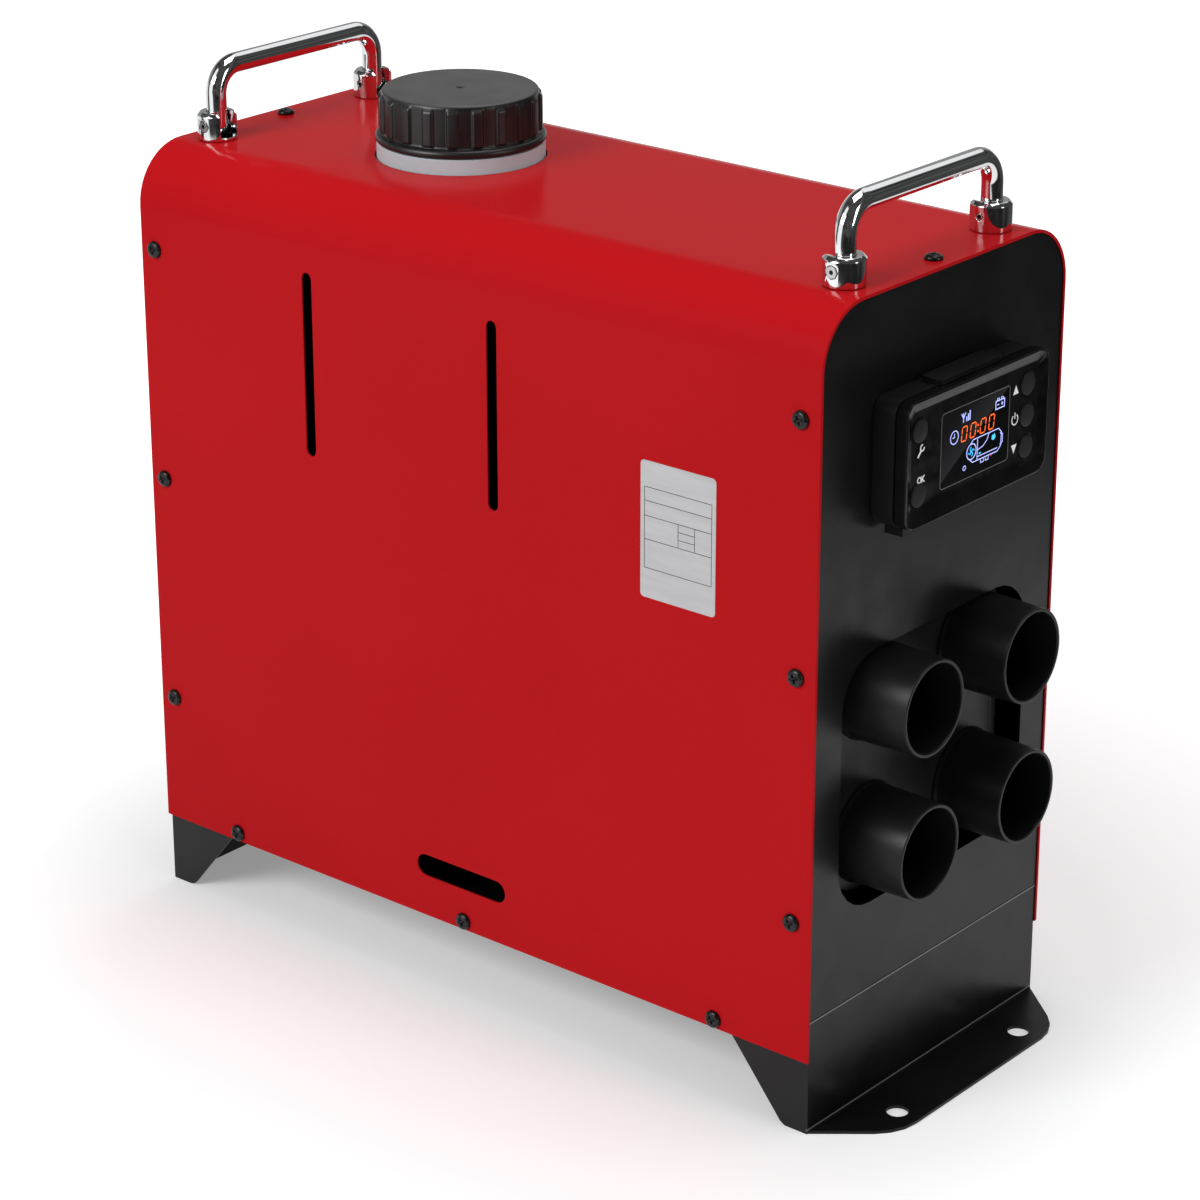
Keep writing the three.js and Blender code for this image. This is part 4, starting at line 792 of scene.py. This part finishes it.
def nought(y, z, width, height):
    """A display nought: the six outer bars of seven, round a leaning rectangle, each with pointed ends."""
    w, h = width / 2, height / 2
    ends = [((-w, h), (w, h)), ((w, h), (w, 0)), ((w, 0), (w, -h)), ((w, -h), (-w, -h)),
            ((-w, -h), (-w, 0)), ((-w, 0), (-w, h))]
    bars = []
    for start, end in ends:
        a, b = np.array(start, float), np.array(end, float)
        d = (b - a) / np.linalg.norm(b - a)
        n = np.array([-d[1], d[0]]) * DIGIT_BAR
        a, b = a + d * DIGIT_GAP, b - d * DIGIT_GAP
        tip = d * DIGIT_BAR
        outline = np.array([a, a + tip + n, b - tip + n, b, b - tip - n, a + tip - n])
        bars.append(outline @ np.array([[1, 0], [DIGIT_LEAN, 1]]) + np.array([y, z]))
    return bars


digits = []
for y in (-8.4, -1.9, 5.6, 12.0):
    digits += nought(y, 3.9, 3.7, 6.3)
for z in (2.4, 5.2):
    digits.append(np.array([[1.4, z - 0.45], [2.3, z - 0.45], [2.3, z + 0.45], [1.4, z + 0.45]]))
print_on_panel("display_digits", digits, ORANGE_DIGITS, lift=0.05 * MM)

clock = ring_strokes((-15.8, 4.2), 2.9, 0.45) + [stroke([(-15.8, 6.0), (-15.8, 4.2), (-17.2, 4.2)], 0.4)]
signal = [np.array([[x, 9.2], [x + 0.7, 9.2], [x + 0.7, 9.2 + h], [x, 9.2 + h]])
          for x, h in ((-7.4, 2.2), (-6.2, 3.2), (-5.0, 4.4))]
signal += [stroke([(-9.4, 9.2), (-9.4, 13.4)], 0.5), stroke([(-11.0, 13.4), (-9.4, 11.2), (-7.8, 13.4)], 0.5)]
battery = [stroke([(14.8, 8.6), (21.4, 8.6), (21.4, 12.2), (14.8, 12.2), (14.8, 8.3)], 0.5),
           stroke([(16.0, 12.3), (16.0, 13.2), (17.2, 13.2), (17.2, 12.3)], 0.4),
           stroke([(19.0, 12.3), (19.0, 13.2), (20.2, 13.2), (20.2, 12.3)], 0.4),
           stroke([(15.8, 10.4), (17.4, 10.4)], 0.4), stroke([(18.8, 10.4), (20.4, 10.4)], 0.4),
           stroke([(19.6, 9.6), (19.6, 11.2)], 0.4)]
heater = [stroke([(-3.4, -9.4), (-1.6, -10.8), (17.2, -10.8), (19.8, -8.6), (19.8, -2.6), (17.6, -0.6),
                  (-1.4, -0.6), (-3.4, -2.0)], 0.42),
          stroke([(1.8, -1.0), (1.8, -10.4)], 0.45), stroke([(2.0, -9.2), (17.0, -9.2)], 0.4),
          stroke([(19.0, -8.2), (20.8, -7.4), (20.8, -3.8), (19.0, -3.0)], 0.45),
          stroke([(2.0, -6.2), (6.0, -5.4), (9.0, -3.4), (10.4, -0.8)], 0.4),
          stroke([(4.6, -11.2), (4.6, -12.6), (6.8, -12.6), (6.8, -11.2)], 0.4),
          stroke([(8.2, -11.2), (8.2, -12.6), (10.4, -12.6), (10.4, -11.2)], 0.4)]
heater += ring_strokes((-2.6, -5.7), 3.5, 0.5) + ring_strokes((-7.6, -11.8), 1.0, 0.4, parts=12)
print_on_panel("display_lines", clock + signal + battery + heater, BLUE_LINES, lift=0.05 * MM)

fan = []
for step in range(4):
    fan += ring_strokes((-2.6 + 1.1 * math.cos(step * math.pi / 2), -5.7 + 1.1 * math.sin(step * math.pi / 2)),
                        0.9, 0.5, 90 * step, 200, 8)
flame = [np.array([[12.6, -4.4], [14.0, -4.8], [15.2, -4.2], [15.3, -3.0], [14.4, -1.8], [13.9, -2.7],
                   [13.3, -2.1], [12.5, -3.2]]), np.array([[3.0, -8.3], [4.6, -8.3], [4.6, -7.7], [3.0, -7.7]])]
print_on_panel("display_fan_and_flame", fan + flame, CYAN_LINES, lift=0.06 * MM)
print_on_panel("display_red_dot", [np.array([[12.0, -11.8], [12.9, -11.8], [12.9, -11.0], [12.0, -11.0]])],
               RED_MARK, lift=0.06 * MM)

frame_line = rounded_outline(-25.4, 25.4, -16.9, 16.9, 1.6, 4)
frame_line = np.vstack([frame_line, frame_line[:1]])
frame_bars = [stroke(frame_line[i:i + 2], 0.25) for i in range(len(frame_line) - 1)]
triangle = np.array([[-2.1, -1.9], [2.1, -1.9], [0, 2.2]])
power = ring_strokes((30.0, 0.0), 2.3, 0.6, 125, 290, 20) + [stroke([(30.0, 0.4), (30.0, 3.2)], 0.6)]
letter_o = ring_strokes((-40.8, -8.0), 1.25, 0.6, parts=16)
letter_k = [stroke([(-38.9, -6.5), (-38.9, -9.5)], 0.6),
            stroke([(-37.1, -6.5), (-38.7, -8.0), (-37.0, -9.5)], 0.6)]
spanner = [stroke([(-42.4, 2.4), (-39.9, 5.2)], 1.0)]
spanner += ring_strokes((-39.2, 6.1), 1.35, 0.75, 80, 280, 14)
print_on_panel("panel_signs", [triangle + [30.0, 13.5], triangle * [1, -1] + [30.0, -13.4]] + power + letter_o
               + letter_k + spanner, WHITE_PRINT)
print_on_panel("display_frame_line", frame_bars, GREY_PRINT)


# Floor, light and camera --------------------------------------------------------------------------

BEHIND = math.radians(130)  # compass direction behind the object, seen from the photograph's place
DIFFUSE_ROOM = 0.32
DARK_ROOM = (0.015, 0.1)
STUDIO_CARDS = [  # compass degrees from and to, height from and to, and how bright
    (-34, 75, -1.2, 0.48, 0.24),  # the backdrop
    (-34, 75, -1.2, 0.08, 0.6),  # its brighter foot
    (100, 138, -1.2, 0.85, 1.0),  # the tall card on the left
    (-52, -6, 0.54, 0.84, 0.95),  # the card high at the back
]
FLOOR_REACH = 6.0
FLOOR_COLOR = (0.82, 0.82, 0.83)
FLOOR_LIFT_NEAR = 0.27
FLOOR_LIFT_FAR = 0.8
FLOOR_LIFT_REACH = (0.24, 0.7)
TABLE_MIDDLE = (-0.15, -0.25)
TABLE_EDGE = (1.04, 1.16)


def studio_cards(wiring, x, y, height):
    """How bright metal sees the studio in a direction: a dark room with a pale backdrop behind the object, a
    tall white card on the left and a white card high at the back. Each is a soft-edged box in height and in
    the compass angle counted from behind the object, the arctangent of the direction's share across that line
    over its share along it."""
    along = wiring.reckon("MULTIPLY_ADD", x, math.cos(BEHIND), wiring.reckon("MULTIPLY", y, math.sin(BEHIND)))
    across = wiring.reckon("MULTIPLY_ADD", x, -math.sin(BEHIND), wiring.reckon("MULTIPLY", y, math.cos(BEHIND)))
    angle = wiring.reckon("ARCTAN2", across, along)
    clutter = wiring.node("TexNoise", Scale=7.0, Detail=3.0)
    total = wiring.ramp(clutter.outputs["Fac"], *NOISE_MIDDLE, *DARK_ROOM)
    for start, end, low, high, level in STUDIO_CARDS:
        card = wiring.reckon("MULTIPLY", wiring.between(angle, math.radians(start), math.radians(end), 0.08),
                             wiring.between(height, low, high, 0.04))
        total = wiring.reckon("MULTIPLY_ADD", card, level, total)
    return total


def paint_floor(material):
    """A pale floor that the camera, glass and metal see as white where no shadow falls, by a little light of
    its own that grows with the distance from the object, while it lights the object as a plain diffuse
    surface. To metal it ends at the table's edge, past which stand the studio's cards."""
    wiring = Wiring(material.node_tree)
    shader = material.node_tree.nodes["Principled BSDF"]
    shader.inputs["Roughness"].default_value = 0.9
    shader.inputs["Specular IOR Level"].default_value = 0.0
    x, y, _ = wiring.parts_of(wiring.node("TexCoord").outputs["Object"])
    path = wiring.node("LightPath")
    glossy = path.outputs["Is Glossy Ray"]
    seen = wiring.reckon("MAXIMUM", path.outputs["Is Camera Ray"], path.outputs["Is Transmission Ray"])
    from_table = wiring.length(wiring.reckon("SUBTRACT", x, TABLE_MIDDLE[0]),
                               wiring.reckon("SUBTRACT", y, TABLE_MIDDLE[1]))
    beyond = wiring.reckon("MULTIPLY", wiring.ramp(from_table, *TABLE_EDGE, 0.0, 1.0), glossy)
    wiring.link(wiring.blend_color(beyond, FLOOR_COLOR, (0.0, 0.0, 0.0)), shader.inputs["Base Color"])
    lift = wiring.ramp(wiring.length(x, y), *FLOOR_LIFT_REACH, FLOOR_LIFT_NEAR, FLOOR_LIFT_FAR)
    cards = wiring.reckon("MULTIPLY", beyond, studio_cards(wiring, x, y, wiring.reckon("MULTIPLY", x, 0.0)))
    near = wiring.reckon("MULTIPLY", wiring.reckon("SUBTRACT", glossy, beyond), FLOOR_LIFT_NEAR)
    glow = wiring.reckon("ADD", wiring.reckon("MULTIPLY_ADD", seen, lift, near), cards)
    shader.inputs["Emission Color"].default_value = (1.0, 1.0, 1.0, 1.0)
    wiring.link(glow, shader.inputs["Emission Strength"])


floor_mesh = bpy.data.meshes.new("studio_floor")
floor_mesh.from_pydata([(x * FLOOR_REACH, y * FLOOR_REACH, 0) for x, y in ((-1, -1), (1, -1), (1, 1), (-1, 1))],
                       [], [(0, 1, 2, 3)])
floor = bpy.data.objects.new("studio_floor", floor_mesh)
bpy.context.scene.collection.objects.link(floor)
floor_paint = bpy.data.materials.new("floor_paint")
floor_paint.use_nodes = True
paint_floor(floor_paint)
floor_mesh.materials.append(floor_paint)


def studio_world():
    """The room: white where the camera looks past the object, the studio's cards for metal, and a soft grey
    for the light that falls on the object."""
    world = bpy.data.worlds.new("studio")
    bpy.context.scene.world = world
    world.use_nodes = True
    wiring = Wiring(world.node_tree)
    background = world.node_tree.nodes["Background"]
    x, y, z = wiring.parts_of(wiring.node("TexCoord").outputs["Generated"])
    path = wiring.node("LightPath")
    glossy = path.outputs["Is Glossy Ray"]
    seen = wiring.reckon("MAXIMUM", path.outputs["Is Camera Ray"], path.outputs["Is Transmission Ray"])
    other = wiring.reckon("SUBTRACT", wiring.reckon("SUBTRACT", 1.0, seen), glossy)
    other = wiring.reckon("MAXIMUM", other, 0.0)
    level = wiring.reckon("MULTIPLY_ADD", other, DIFFUSE_ROOM, seen)
    level = wiring.reckon("ADD", level, wiring.reckon("MULTIPLY", glossy, studio_cards(wiring, x, y, z)))
    wiring.link(level, background.inputs["Strength"])
    background.inputs["Color"].default_value = (1.0, 1.0, 1.0, 1.0)


studio_world()


def softbox(name, place, target, width, height, power):
    """A rectangular lamp at a place, facing a target."""
    lamp = bpy.data.lights.new(name, "AREA")
    lamp.shape = "RECTANGLE"
    lamp.size = width
    lamp.size_y = height
    lamp.energy = power
    made = bpy.data.objects.new(name, lamp)
    made.location = place
    made.rotation_euler = (Vector(target) - Vector(place)).to_track_quat("-Z", "Y").to_euler()
    bpy.context.scene.collection.objects.link(made)


TARGET = (0, 0, 0.2)
softbox("key_softbox", (-0.5, -2.2, 1.7), TARGET, 1.4, 1.0, 39)
softbox("top_softbox", (0.1, 0.3, 2.2), TARGET, 1.4, 1.0, 17)
softbox("side_softbox", (2.2, 0.3, 0.9), TARGET, 0.5, 1.2, 8)

PHOTO_SIZE = 1200
FOCAL_PIXELS = 3690.2
AZIMUTH = math.radians(39.89)
ELEVATION = math.radians(20.91)
ROLL = math.radians(-0.045)
CAMERA_PLACE = Vector((1.0429, -1.2392, 0.8304)) + Vector((MIDDLE, 0, 0))
lens = bpy.data.cameras.new("photo_camera")
lens.sensor_width = 36
lens.lens = FOCAL_PIXELS / PHOTO_SIZE * lens.sensor_width
lens.shift_y = -0.06
lens.clip_start = 0.05
lens.clip_end = 50
camera = bpy.data.objects.new("photo_camera", lens)
turn = (Matrix.Rotation(AZIMUTH, 4, "Z") @ Matrix.Rotation(math.pi / 2 - ELEVATION, 4, "X")
        @ Matrix.Rotation(ROLL, 4, "Z"))
camera.matrix_world = Matrix.Translation(CAMERA_PLACE) @ turn
bpy.context.scene.collection.objects.link(camera)
bpy.context.scene.camera = camera
bpy.context.scene.view_settings.view_transform = "Standard"
